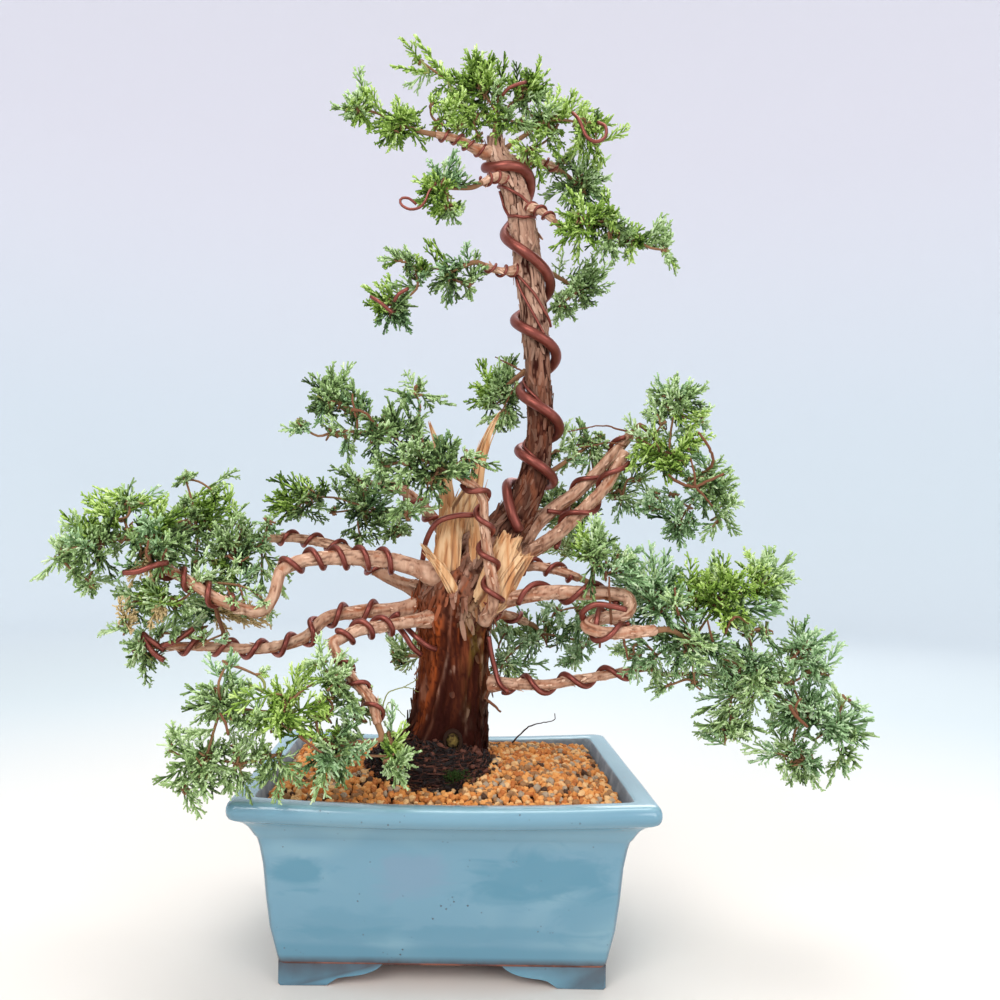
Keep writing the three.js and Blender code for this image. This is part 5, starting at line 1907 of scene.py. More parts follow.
@dataclass
class RootMat:
    """The dark fibrous mat of old surface roots round the foot of the trunk."""

    shape: Shape = field(default_factory=Shape)
    foot: float = 126.5
    fibres: int = 1300
    stubs: int = 620
    scar: Point = (5.5, -42.5, 160.0)
    scar_size: tuple[float, float] = (6.0, 7.6)
    scar_steps: tuple[tuple[float, float], ...] = (
        (0.9, -3.0), (1.22, -0.6), (1.16, 1.2), (0.94, 1.6), (0.8, 0.5), (0.45, 0.3), (0.12, 0.6))
    moss: Point = (7.0, -69.0, 142.0)
    tips: int = 170
    seed: int = 77

    def over(self, rise: Array, spin: Array, lift: Array | None = None) -> Array:
        """Gives places on the mound, lifted by a share of its size, or directions on a ball without a lift."""
        out = np.stack([np.cos(rise) * np.cos(spin), np.cos(rise) * np.sin(spin), np.sin(rise)], axis=-1)
        return out if lift is None else np.array(MAT_CENTRE) + out * np.array(MAT_RADII) * lift[..., None]

    def above(self, points: Array, clear: float) -> Array:
        """Keeps places above the mat's foot."""
        points[..., 2] = np.maximum(points[..., 2], self.foot + clear)
        return points

    def mound(self) -> None:
        """Adds the lumpy mound."""
        rows, columns = 40, 110
        rise, spin = np.meshgrid(np.linspace(0, math.pi / 2 - 0.02, rows), circle(columns), indexing="ij")
        lumps = Noise(self.seed).layered((self.over(rise, spin) * 3.6).reshape(-1, 3), 5).reshape(rows, columns)
        closed_tube(self.shape, self.above(self.over(rise, spin, 0.9 + 0.2 * lumps), 0), 3)

    def threads(self) -> None:
        """Adds root fibres that wander over the mound and up the foot of the trunk."""
        rng = np.random.default_rng(self.seed + 1)
        spin = rng.uniform(0, 2 * math.pi, self.fibres)
        rise = rng.uniform(0.02, 1.25, self.fibres)
        turn = rng.normal(0, 0.75, self.fibres)
        reach = rng.uniform(-0.35, 0.6, self.fibres)
        bits = np.linspace(0, 1, 7)
        sway = 0.16 * np.cumsum(rng.normal(size=(self.fibres, 7)), axis=1)
        spins = spin[:, None] + turn[:, None] * bits + sway
        rises = np.clip(rise[:, None] - reach[:, None] * bits, 0.0, 1.4)
        lines = self.above(self.over(rises, spins, 1.0 + rng.uniform(-0.03, 0.045, (self.fibres, 7))), 0.8)
        thick = rng.uniform(0.15, 0.62, self.fibres)[:, None] * np.linspace(1, 0.35, 7)
        bundle(self.shape, lines, thick, 3, rng.integers(0, 3, self.fibres))

    def crumbs(self) -> None:
        """Adds short thick stubs of root that make the mat lumpy."""
        rng = np.random.default_rng(self.seed + 3)
        spin, rise = rng.uniform(0, 2 * math.pi, self.stubs), rng.uniform(0.02, 1.2, self.stubs)
        middle = self.above(self.over(rise, spin, rng.uniform(0.96, 1.03, self.stubs)), 1.2)
        half = unit(rng.normal(size=(self.stubs, 3))) * rng.uniform(1.0, 4.5, (self.stubs, 1))
        lines = np.stack([middle - half, middle + rng.normal(0, 0.6, middle.shape), middle + half], axis=1)
        thick = rng.uniform(0.7, 1.9, (self.stubs, 1)) * np.array([0.7, 1.0, 0.6])
        bundle(self.shape, self.above(lines, 1.0), thick, 5, rng.choice([0, 1, 2, 2], self.stubs))

    def pruned(self) -> None:
        """Adds the healed cut of an old root: a lip round a sunken oval of olive wood."""
        angle = circle(28)
        rings = []
        for share, rise in self.scar_steps:
            across, up = self.scar_size[0] * share * np.cos(angle), self.scar_size[1] * share * np.sin(angle)
            rings.append(np.array(self.scar) + np.stack([across, 0.12 * up - rise, up], axis=1))
        closed_tube(self.shape, np.array(rings[:5]), 5)
        closed_tube(self.shape, np.array(rings[4:]) - np.array([0, 0.3, 0]), 4)

    def tufts(self) -> None:
        """Adds a little cushion of moss."""
        rng = np.random.default_rng(self.seed + 2)
        foot = np.array(self.moss) + rng.normal(0, 1, (self.tips, 3)) * np.array([4.0, 1.6, 2.0])
        out = unit(rng.normal(size=foot.shape) * 0.5 + np.array([0, -0.6, 0.8]))
        out = out * rng.uniform(1.2, 3.0, (self.tips, 1))
        lines = np.stack([foot - out * 0.6, foot, foot + out], axis=1)
        bundle(self.shape, lines, np.tile([0.32, 0.3, 0.12], (self.tips, 1)), 3, 6)

    def dress(self) -> None:
        """Makes the mat's piece."""
        self.mound()
        self.threads()
        self.crumbs()
        self.pruned()
        self.tufts()
        self.shape.build("root_mat_fibres", [*FIBRES, MAT, *SCAR, MOSS], "roots", ["root_mat"])


# Foliage


@dataclass
class Cords:
    """The scale-covered cords of one spray on a unit axis: ends, bends, thickness and order of branching."""

    bases: Array
    bends: Array
    tips: Array
    thick: Array
    order: Array


class Habit(Enum):
    """How a spray branches: its links along the axis, side cords, longest side cord and side branchlets."""

    FAN = (4, (9, 12), 0.4, (1, 4))
    FROND = (5, (9, 12), 0.46, (1, 4))
    TUFT = (3, (7, 9), 0.5, (1, 3))
    SHOOT = (6, (24, 29), 0.17, (0, 2))


def spray(habit: Habit, rng: np.random.Generator) -> Cords:
    """Grows one spray along the third direction: a flat fern of cords, with a few that stand off it.

    Args:
        habit: how it branches.
        rng: the source of its small differences.

    Returns:
        Its cords, for an axis of length one.
    """
    links, sides, reach, branchlets = habit.value
    found: list[tuple[Array, Array, Array, float, int]] = []
    lean = rng.normal(0, 0.1, 2)

    def on_axis(share: float) -> Array:
        """Gives a point on the slightly bent axis."""
        return np.array([lean[0] * share ** 2, lean[1] * share ** 2, share])

    for k in range(links):
        start, end = on_axis(k / links), on_axis(min(1.0, (k + 1.1) / links))
        found.append((start, (start + end) / 2, end, 1.08 - 0.25 * k / links, 0))
    count = int(rng.integers(*sides))
    for k in range(count):
        share = 0.06 + 0.86 * (k + rng.uniform(-0.3, 0.3)) / count
        spin = rng.normal(0, 0.45) + (k % 2) * math.pi + (k * 2.4 if habit is Habit.SHOOT else 0)
        if rng.random() < 0.2:
            spin += math.pi / 2 * rng.choice([-1, 1])
        out = np.array([math.cos(spin), math.sin(spin), 0])
        slant = rng.uniform(0.5, 0.85) - 0.25 * share
        heading = unit(out * math.sin(slant) + UP * math.cos(slant))
        length = reach * (1 - 0.5 * share) * rng.uniform(0.8, 1.15)
        base = on_axis(share)
        tip = base + heading * length + UP * 0.14 * length
        found.append((base, base + heading * length * 0.55, tip, 0.95, 1))
        across = unit(np.cross(heading, UP))
        flat = np.cross(across, heading)
        for j in range(int(rng.integers(*branchlets))):
            place = rng.uniform(0.35, 0.5) + 0.2 * j
            swing = (1 if j % 2 else -1) * rng.uniform(0.5, 0.8)
            tilt = rng.normal(0, 0.3)
            turn = flat * math.cos(tilt) + across * math.sin(tilt)
            branch = unit(heading * math.cos(swing) + turn * math.sin(swing) + UP * 0.12)
            start = base + (tip - base) * place
            end = start + branch * length * rng.uniform(0.3, 0.5)
            found.append((start, start, end, 0.88, 2))
    bases, bends, tips, thick, order = zip(*found)
    return Cords(np.array(bases), np.array(bends), np.array(tips), np.array(thick), np.array(order))


@dataclass
class Places:
    """Where sprays stand: the foot, direction and length of each."""

    feet: Array
    heading: Array
    length: Array

    def only(self, keep: Array) -> "Places":
        """Gives those that are kept."""
        return Places(self.feet[keep], self.heading[keep], self.length[keep])


@dataclass(frozen=True)
class Mass:
    """One mass of foliage: its name, what its stem grows from, its clumps, and its furthest fans and shoots.

    A clump is a middle and three radii. The large ones come first, then those that lie between them.
    """

    name: str
    source: Any
    clumps: tuple[tuple[float, ...], ...]
    fans: tuple[Point, ...] = ()
    shoots: tuple[tuple[float, ...], ...] = ()
    dead: tuple[Point, ...] = ()
    bright: tuple[tuple[float, ...], ...] = ()
    via: tuple[Point, ...] = ()
    palette: Palette = Palette.BLUE
    density: float = 1.0
    # Shifts all the mass's painted shading lighter or darker.
    lift: float = 0.0


TRUNK_TIP = "tip"
MASSES = (
    Mass("apex_top", TRUNK_TIP,
         clumps=((34, -2, 636, 21, 24, 17), (18, -6, 658, 31, 34, 29), (54, 2, 658, 27, 30, 22),
             (-27, -6, 676, 8, 11, 8), (-12, -10, 626, 8, 11, 8), (35, -6, 653, 12, 13, 11),
             (1, -8, 648, 10, 12, 10), (51, -6, 630, 10, 12, 8), (16, -4, 636, 12, 14, 12),
             (19, -2, 620, 9, 10, 6), (-18, -16, 635, 9, 12, 9), (1, -10, 627, 18, 16, 9)),
         fans=((18, -8, 685), (29, -6, 682), (38, 0, 670), (57, -6, 667), (75, -8, 661), (-11, -20, 645),
             (-12, -20, 630), (12, -16, 664)),
         shoots=((-31, -6, 697, -5, -6, 660), (-50, -10, 668, -20, -7, 666), (75, -4, 671)),
         palette=Palette.FRESH, density=1.2, lift=-0.1),
    Mass("apex_right", (41, -3, 611),
         clumps=((72, -8, 631, 26, 26, 18), (100, -12, 625, 23, 24, 17), (79, -2, 627, 12, 10, 7),
             (111, 4, 617, 8, 8, 6), (60, 4, 613, 14, 14, 8)),
         fans=((114, -16, 594), (85, -12, 646), (97, -14, 639), (93, -18, 605), (104, -16, 609), (69, -18, 603),
             (47, -26, 597), (82, -8, 654)),
         shoots=((113, -16, 634), (124, -18, 622)),
         palette=Palette.FRESH, density=1.2, lift=0.0),
    Mass("top_left", "top_left",
         clumps=((-42, -16, 622, 27, 24, 19), (-72, -20, 632, 21, 20, 15)),
         fans=((-81, -18, 646), (-73, -20, 646), (-43, -16, 644), (-23, -16, 633), (-56, -18, 604),
             (-48, -20, 601), (-76, -22, 617), (-40, -20, 611), (-61, -26, 613)),
         shoots=((-88, -22, 631),),
         palette=Palette.FRESH, density=1.2, lift=-0.3),
    Mass("upper_left", "upper_left",
         clumps=((-8, -36, 566, 25, 26, 24), (-3, -36, 553, 19, 18, 10)),
         fans=((-18, -36, 585), (0, -34, 594), (3, -32, 580), (-29, -40, 570), (-25, -44, 557), (-6, -44, 540),
             (4, -40, 538), (6, -34, 550), (-18, -44, 544)),
         bright=((-17, -36, 557, 22),),
         lift=-0.3),
    Mass("top_right_rear", "top_right_rear",
         clumps=((103, 30, 597, 26, 26, 27), (88, 30, 614, 9, 11, 8)),
         fans=((98, 26, 623), (124, 28, 619), (127, 30, 604), (125, 26, 583), (118, 20, 571), (73, 20, 598),
             (74, 20, 583)),
         lift=-0.6),
    Mass("upper_right", "upper_right",
         clumps=((100, -32, 544, 30, 28, 21), (132, -38, 531, 28, 24, 18), (156, -38, 522, 8, 11, 7),
             (117, -37, 548, 11, 11, 9), (116, -38, 533, 8, 11, 7), (112, -36, 543, 19, 16, 13)),
         fans=((157, -40, 527), (157, -42, 512), (84, -30, 568), (79, -38, 531), (73, -38, 521),
             (109, -36, 547), (124, -38, 547), (152, -40, 539), (158, -40, 532), (111, -40, 512),
             (118, -42, 509), (131, -42, 512)),
         shoots=((137, -40, 539), (164, -40, 507)),
         palette=Palette.FRESH, density=0.85, lift=-0.6),
    Mass("mid_left", "mid_left",
         clumps=((0, -24, 508, 24, 24, 18), (-27, -28, 508, 22, 24, 19), (-44, -30, 480, 24, 26, 22),
             (14, -20, 500, 10, 12, 8), (-37, -30, 513, 9, 10, 10)),
         fans=((-55, -30, 517), (-42, -28, 523), (-16, -24, 515), (19, -20, 525), (20, -22, 509),
             (14, -24, 487), (-7, -26, 482), (-66, -32, 494), (-64, -34, 479), (-49, -34, 458), (-30, -34, 468),
             (-27, -36, 478)),
         bright=((-61, -30, 492, 24), (-16, -26, 515, 14)),
         density=0.8, lift=-1.0),
    Mass("mid_right", (70, 4, 521),
         clumps=((103, 24, 510, 23, 24, 24), (86, 10, 495, 9, 10, 12)),
         fans=((83, 10, 477), (76, 8, 488), (129, 24, 532), (125, 22, 522), (112, 26, 528), (98, 16, 483),
             (115, 16, 496), (86, 10, 498)),
         lift=-0.8),
    Mass("leader_rear", (59, 8, 441),
         clumps=((38, 27, 426, 26, 26, 34), (47, 26, 414, 11, 16, 21)),
         fans=((45, 24, 457), (25, 22, 442), (16, 20, 429), (18, 18, 416), (24, 16, 400), (36, 14, 393),
             (50, 14, 395)),
         bright=((22, 24, 432, 16),)),
    Mass("upper_front", "up_front",
         clumps=((-8, -52, 359, 30, 34, 30), (-46, -58, 385, 31, 34, 24), (-85, -62, 405, 30, 32, 25),
             (-66, -58, 382, 8, 11, 7), (-20, -56, 377, 12, 13, 9), (-26, -56, 362, 11, 13, 9),
             (13, -50, 370, 9, 10, 9), (-83, -62, 382, 13, 12, 9), (-30, -50, 325, 7, 8, 9),
             (-26, -54, 387, 11, 14, 9), (-34, -60, 367, 11, 14, 10), (-74, -64, 381, 10, 12, 8),
             (-106, -60, 387, 11, 16, 9), (-69, -60, 397, 14, 20, 14), (-25, -58, 412, 10, 14, 10),
             (-46, -50, 360, 17, 20, 12), (-14, -50, 349, 19, 18, 14)),
         fans=((-69, -64, 432), (-85, -62, 425), (-100, -64, 406), (-98, -66, 382), (-87, -68, 398),
             (-38, -56, 404), (18, -50, 371), (18, -52, 352), (-6, -58, 331), (-20, -58, 328), (-36, -60, 335),
             (-52, -60, 345), (-70, -62, 361), (-54, -66, 368)),
         shoots=((-113, -66, 378), (-16, -50, 421), (4, -46, 403)),
         density=0.95, lift=-0.75),
    Mass("left_mid", "left_mid",
         clumps=((-67, 26, 332, 32, 34, 29), (-113, 22, 340, 37, 32, 22), (-71, 26, 308, 9, 11, 8),
             (-42, 26, 326, 9, 11, 8), (-91, 22, 328, 10, 8, 11), (-126, 22, 331, 21, 20, 14),
             (-42, 20, 314, 13, 16, 11), (-70, 26, 353, 24, 20, 13)),
         fans=((-134, 20, 353), (-119, 18, 348), (-95, 20, 362), (-70, 14, 302), (-32, 10, 311), (-50, 12, 306),
             (-137, 18, 319), (-118, 16, 320), (-78, 12, 309)),
         shoots=((-150, 24, 329),),
         bright=((-143, 20, 341, 26), (-112, 24, 354, 16)),
         lift=-1.0),
    Mass("left_outer", "left_return",
         clumps=((-211, -60, 301, 37, 46, 37), (-246, -66, 302, 34, 42, 32), (-213, -54, 265, 23, 32, 26),
             (-233, -66, 307, 8, 11, 7), (-272, -66, 291, 8, 11, 7), (-191, -60, 260, 11, 12, 8),
             (-225, -66, 311, 13, 14, 13), (-250, -66, 274, 10, 12, 11), (-227, -62, 242, 10, 8, 10),
             (-203, -52, 308, 17, 20, 16), (-209, -66, 293, 11, 14, 10), (-233, -64, 318, 16, 20, 11),
             (-225, -62, 330, 27, 24, 8), (-179, -60, 275, 21, 20, 11), (-202, -64, 262, 21, 20, 11),
             (-129, -58, 262, 10, 12, 10)),
         fans=((-249, -62, 339), (-234, -62, 340), (-218, -60, 335), (-259, -66, 332), (-271, -66, 312),
             (-270, -66, 289), (-262, -64, 268), (-252, -62, 262), (-174, -66, 255), (-157, -64, 270)),
         shoots=((-275, -66, 300),),
         dead=((-225, -76, 262), (-216, -74, 251), (-206, -72, 243), (-197, -72, 249), (-219, -80, 274),
             (-208, -78, 293)),
         bright=((-252, -64, 328, 24), (-201, -56, 268, 18), (-212, -60, 318, 16)),
         lift=-0.2),
    Mass("left_inner", "left_rear",
         clumps=((-167, 8, 298, 30, 42, 41), (-198, 4, 320, 34, 46, 38), (-187, -8, 251, 20, 28, 23),
             (-206, 4, 352, 9, 11, 8), (-198, 4, 287, 9, 11, 8), (-189, -8, 236, 8, 11, 8),
             (-147, 8, 299, 9, 11, 8), (-183, 4, 342, 9, 11, 8), (-178, -12, 289, 17, 20, 14),
             (-139, -6, 321, 8, 10, 9), (-169, 2, 320, 14, 18, 14)),
         fans=((-196, 2, 356), (-176, 0, 348), (-156, -4, 332), (-142, -6, 314), (-137, -8, 296),
             (-135, -12, 250), (-214, -4, 347), (-141, -14, 259)),
         shoots=((-206, 4, 360), (-123, -10, 258)),
         dead=((-145, -22, 255), (-135, -20, 245), (-151, -22, 246)),
         bright=((-182, 4, 332, 18), (-170, -12, 274, 14)),
         lift=-0.2),
    Mass("left_low", "left_low",
         clumps=((-222, -42, 225, 19, 26, 28), (-209, -42, 236, 8, 11, 7), (-192, -40, 236, 9, 10, 6),
             (-184, -38, 225, 12, 12, 10), (-163, -38, 236, 12, 12, 9)),
         fans=((-217, -40, 199), (-231, -40, 210), (-224, -42, 224), (-237, -42, 231))),
    Mass("front_low", "front_drop",
         clumps=((-75, -110, 172, 31, 40, 27), (-106, -118, 195, 32, 42, 26), (-142, -126, 200, 24, 36, 20),
             (-153, -122, 163, 28, 38, 26), (-34, -112, 166, 20, 28, 17), (-73, -106, 215, 22, 30, 17),
             (-84, -110, 186, 7, 11, 7), (-64, -100, 202, 7, 11, 7), (-167, -122, 145, 7, 11, 6),
             (-132, -122, 162, 7, 11, 6), (-176, -122, 170, 7, 11, 6), (-128, -118, 190, 9, 13, 9),
             (-140, -124, 226, 8, 8, 8), (-78, -108, 191, 9, 12, 10), (-107, -116, 167, 8, 8, 9),
             (-131, -122, 172, 8, 14, 10), (-122, -116, 218, 8, 12, 8), (-82, -104, 225, 8, 12, 8),
             (-56, -98, 190, 11, 14, 9), (-36, -104, 178, 9, 12, 8), (-101, -112, 202, 13, 18, 12),
             (-118, -118, 167, 13, 20, 18), (-147, -118, 208, 17, 16, 9), (-77, -100, 200, 17, 18, 13),
             (-52, -95, 199, 13, 14, 9)),
         fans=((-98, -112, 221), (-84, -108, 222), (-135, -122, 232), (-156, -124, 214), (-162, -128, 204),
             (-168, -128, 186), (-169, -126, 155), (-156, -124, 139), (-142, -122, 142), (-125, -120, 139),
             (-105, -118, 137), (-82, -116, 138), (-64, -114, 151), (-20, -108, 158), (-32, -108, 146),
             (-67, -98, 224), (-97, -106, 222), (-115, -110, 222), (-56, -94, 210), (-44, -92, 199)),
         shoots=((-149, -124, 224, -117, -118, 208), (-177, -128, 167), (-15, -108, 168), (-77, -100, 230)),
         bright=((-94, -116, 193, 26), (-116, -120, 209, 16), (-36, -108, 172, 14)),
         density=0.88, lift=0.5),
    Mass("rear_low_left", (-6, 16, 214),
         clumps=((-42, 74, 207, 24, 28, 21),),
         fans=((-36, 62, 217), (-24, 60, 222), (-44, 64, 201))),
    Mass("right_crown", "right_upper_arm",
         clumps=((171, 2, 373, 34, 40, 31), (176, 2, 415, 30, 34, 28), (200, 6, 355, 25, 36, 39),
             (180, 0, 324, 30, 32, 22), (158, 5, 334, 9, 11, 8), (215, 6, 339, 9, 11, 8),
             (190, 0, 334, 9, 11, 8), (194, 2, 402, 9, 11, 8), (175, 5, 345, 9, 11, 8), (148, 2, 388, 9, 11, 8),
             (164, -4, 399, 9, 8, 9), (208, -6, 325, 9, 10, 11), (187, -2, 358, 17, 18, 16),
             (161, 5, 345, 16, 18, 14), (187, 0, 384, 20, 20, 20)),
         fans=((160, 0, 437), (188, 0, 434), (153, -4, 420), (146, -8, 394), (194, 0, 418), (204, 0, 397),
             (212, -6, 333), (194, -8, 310), (178, -10, 303), (165, -12, 318), (150, -14, 340), (139, -14, 362),
             (211, -6, 318)),
         shoots=((177, 0, 441), (220, -4, 367), (223, -4, 354)),
         bright=((163, -2, 375, 22), (186, -4, 395, 16)),
         density=0.87, lift=0.5),
    Mass("right_inner", (72, 10, 356),
         clumps=((116, 32, 387, 30, 26, 21), (138, 36, 350, 18, 24, 24), (139, 22, 344, 12, 12, 9),
             (152, 18, 357, 8, 11, 12), (86, 24, 379, 8, 10, 8)),
         fans=((136, 22, 323), (154, 22, 329), (89, 20, 372), (110, 20, 358), (121, 24, 372), (99, 28, 384))),
    Mass("right_rear", (57, 19, 326),
         clumps=((102, 64, 338, 34, 38, 41), (98, 44, 298, 12, 12, 10)),
         fans=((92, 40, 316), (76, 44, 308), (104, 40, 322))),
    Mass("right_front", "right_mid",
         clumps=((103, -56, 300, 20, 30, 31), (112, -56, 283, 8, 11, 7), (123, -58, 293, 16, 16, 16)),
         fans=((104, -58, 323), (117, -58, 309), (98, -60, 308), (137, -56, 303), (124, -56, 297)),
         bright=((80, -58, 308, 22),)),
    Mass("right_rear_low", "right_rear_low",
         clumps=((80, 70, 228, 40, 40, 32), (120, 70, 220, 9, 11, 9), (111, 44, 252, 15, 18, 15),
             (44, 18, 210, 11, 14, 14), (90, 40, 249, 13, 16, 13), (50, 40, 234, 13, 16, 18)),
         fans=((98, 34, 205), (107, 34, 216), (41, 20, 220), (44, 24, 234), (60, 30, 201), (81, 34, 204),
             (104, 34, 209), (116, 30, 223)),
         density=0.5),
    Mass("right_far", "right_lowest",
         clumps=((265, -36, 184, 29, 40, 31), (263, -34, 228, 25, 32, 28), (288, -38, 173, 25, 34, 26),
             (262, -34, 151, 27, 34, 25), (267, -36, 213, 10, 13, 10), (251, -38, 205, 10, 13, 10),
             (291, -38, 155, 7, 10, 9), (293, -38, 194, 7, 10, 9), (238, -36, 207, 13, 16, 15),
             (275, -40, 214, 10, 12, 10)),
         fans=((264, -36, 253), (280, -38, 238), (309, -40, 185), (308, -40, 168), (294, -40, 138),
             (263, -40, 131), (252, -38, 131), (235, -36, 172), (217, -36, 157), (188, -34, 166),
             (184, -34, 180), (205, -32, 191), (243, -38, 164)),
         shoots=((284, -40, 216), (281, -40, 128), (199, -34, 158)),
         via=((168, -10, 206), (206, 10, 204), (244, -14, 196)),
         density=0.88, lift=0.8),
    Mass("right_big", "right_hook",
         clumps=((179, -42, 235, 41, 44, 27), (157, -34, 265, 41, 44, 34), (204, -30, 268, 37, 48, 36),
             (234, -28, 276, 24, 34, 28), (224, -32, 215, 32, 44, 32), (209, -38, 173, 28, 32, 19),
             (220, -40, 242, 11, 13, 11), (150, -42, 223, 10, 12, 10), (183, -36, 204, 9, 10, 10),
             (142, -44, 236, 9, 8, 9), (180, -30, 265, 19, 22, 18), (216, -34, 251, 18, 20, 13),
             (152, -40, 261, 13, 16, 12), (231, -40, 244, 12, 16, 12), (164, -36, 202, 22, 12, 6),
             (137, -50, 225, 12, 10, 6)),
         fans=((128, -42, 302), (142, -42, 305), (159, -40, 298), (178, -36, 296), (204, -32, 300),
             (223, -30, 303), (235, -30, 304), (258, -28, 299), (259, -28, 279), (250, -28, 260),
             (146, -40, 201), (151, -38, 193), (138, -46, 216), (165, -40, 200), (179, -38, 199),
             (122, -46, 280), (127, -46, 228)),
         shoots=((121, -40, 309), (194, -34, 303), (245, -28, 306)),
         bright=((190, -34, 265, 26), (218, -30, 277, 20)),
         lift=0.6),
)


# Where sky shows through the crown: across and up on the upright plane through the pot, and the radius.
OPENINGS = ((46, 552, 10), (40, 548, 8), (34, 556, 8), (24, 566, 7), (30, 584, 8), (202, 178, 9), (77, 219, 9),
    (96, 360, 9), (-107, 208, 9), (148, 528, 9), (-206, 219, 9), (-22, 488, 9), (178, 190, 9), (201, 316, 9),
    (-47, 519, 9), (-206, 170, 9), (13, 390, 9), (-189, 354, 9), (-215, 345, 9), (241, 146, 9), (-219, 146, 9),
    (-169, 242, 9), (-79, 375, 9), (-13, 414, 9), (207, 178, 9), (-100, 382, 9), (-309, 318, 9), (-20, 642, 9),
    (-4, 598, 9), (201, 318, 9), (243, 148, 9), (-86, 318, 9), (152, 528, 9), (-16, 684, 9), (214, 312, 9),
    (-260, 244, 9), (244, 170, 9), (149, 559, 9), (68, 207, 9), (-4, 678, 9), (-154, 330, 9), (166, 293, 9),
    (194, 294, 9), (200, 182, 12), (-52, 210, 12), (-62, 200, 11), (-70, 219, 8), (-122, 413, 12),
    (-135, 209, 10), (-151, 210, 9), (-23, 650, 9), (163, 317, 9), (-195, 203, 9), (-182, 192, 8),
    (-208, 208, 8), (236, 141, 9), (199, 309, 9), (-6, 602, 7), (-314, 323, 9), (-48, 656, 11), (-90, 310, 8),
    (-156, 103, 8), (-177, 235, 7), (-161, 230, 7), (323, 195, 10), (-8, 424, 12))


def depth_in(clumps: Sequence[Sequence[float]], points: Array) -> Array:
    """Gives how deep points lie in clumps: 1 on the surface of the nearest, less inside it."""
    rows = [np.linalg.norm((points - np.array(clump[:3])) / np.array(clump[3:]), axis=-1) for clump in clumps]
    return np.min(rows, axis=0) if rows else np.full(points.shape[:-1], 9.0)


def even_directions(count: int, start: float) -> Array:
    """Spreads directions evenly over a ball.

    Args:
        count: how many there are.
        start: the first one's angle.

    Returns:
        Unit vectors, one row each.
    """
    index = np.arange(count)
    rise = 1 - 2 * (index + 0.5) / count
    flat = np.sqrt(1 - rise ** 2)
    angle = math.pi * (3 - math.sqrt(5)) * index + start
    return np.column_stack([flat * np.cos(angle), flat * np.sin(angle), rise])


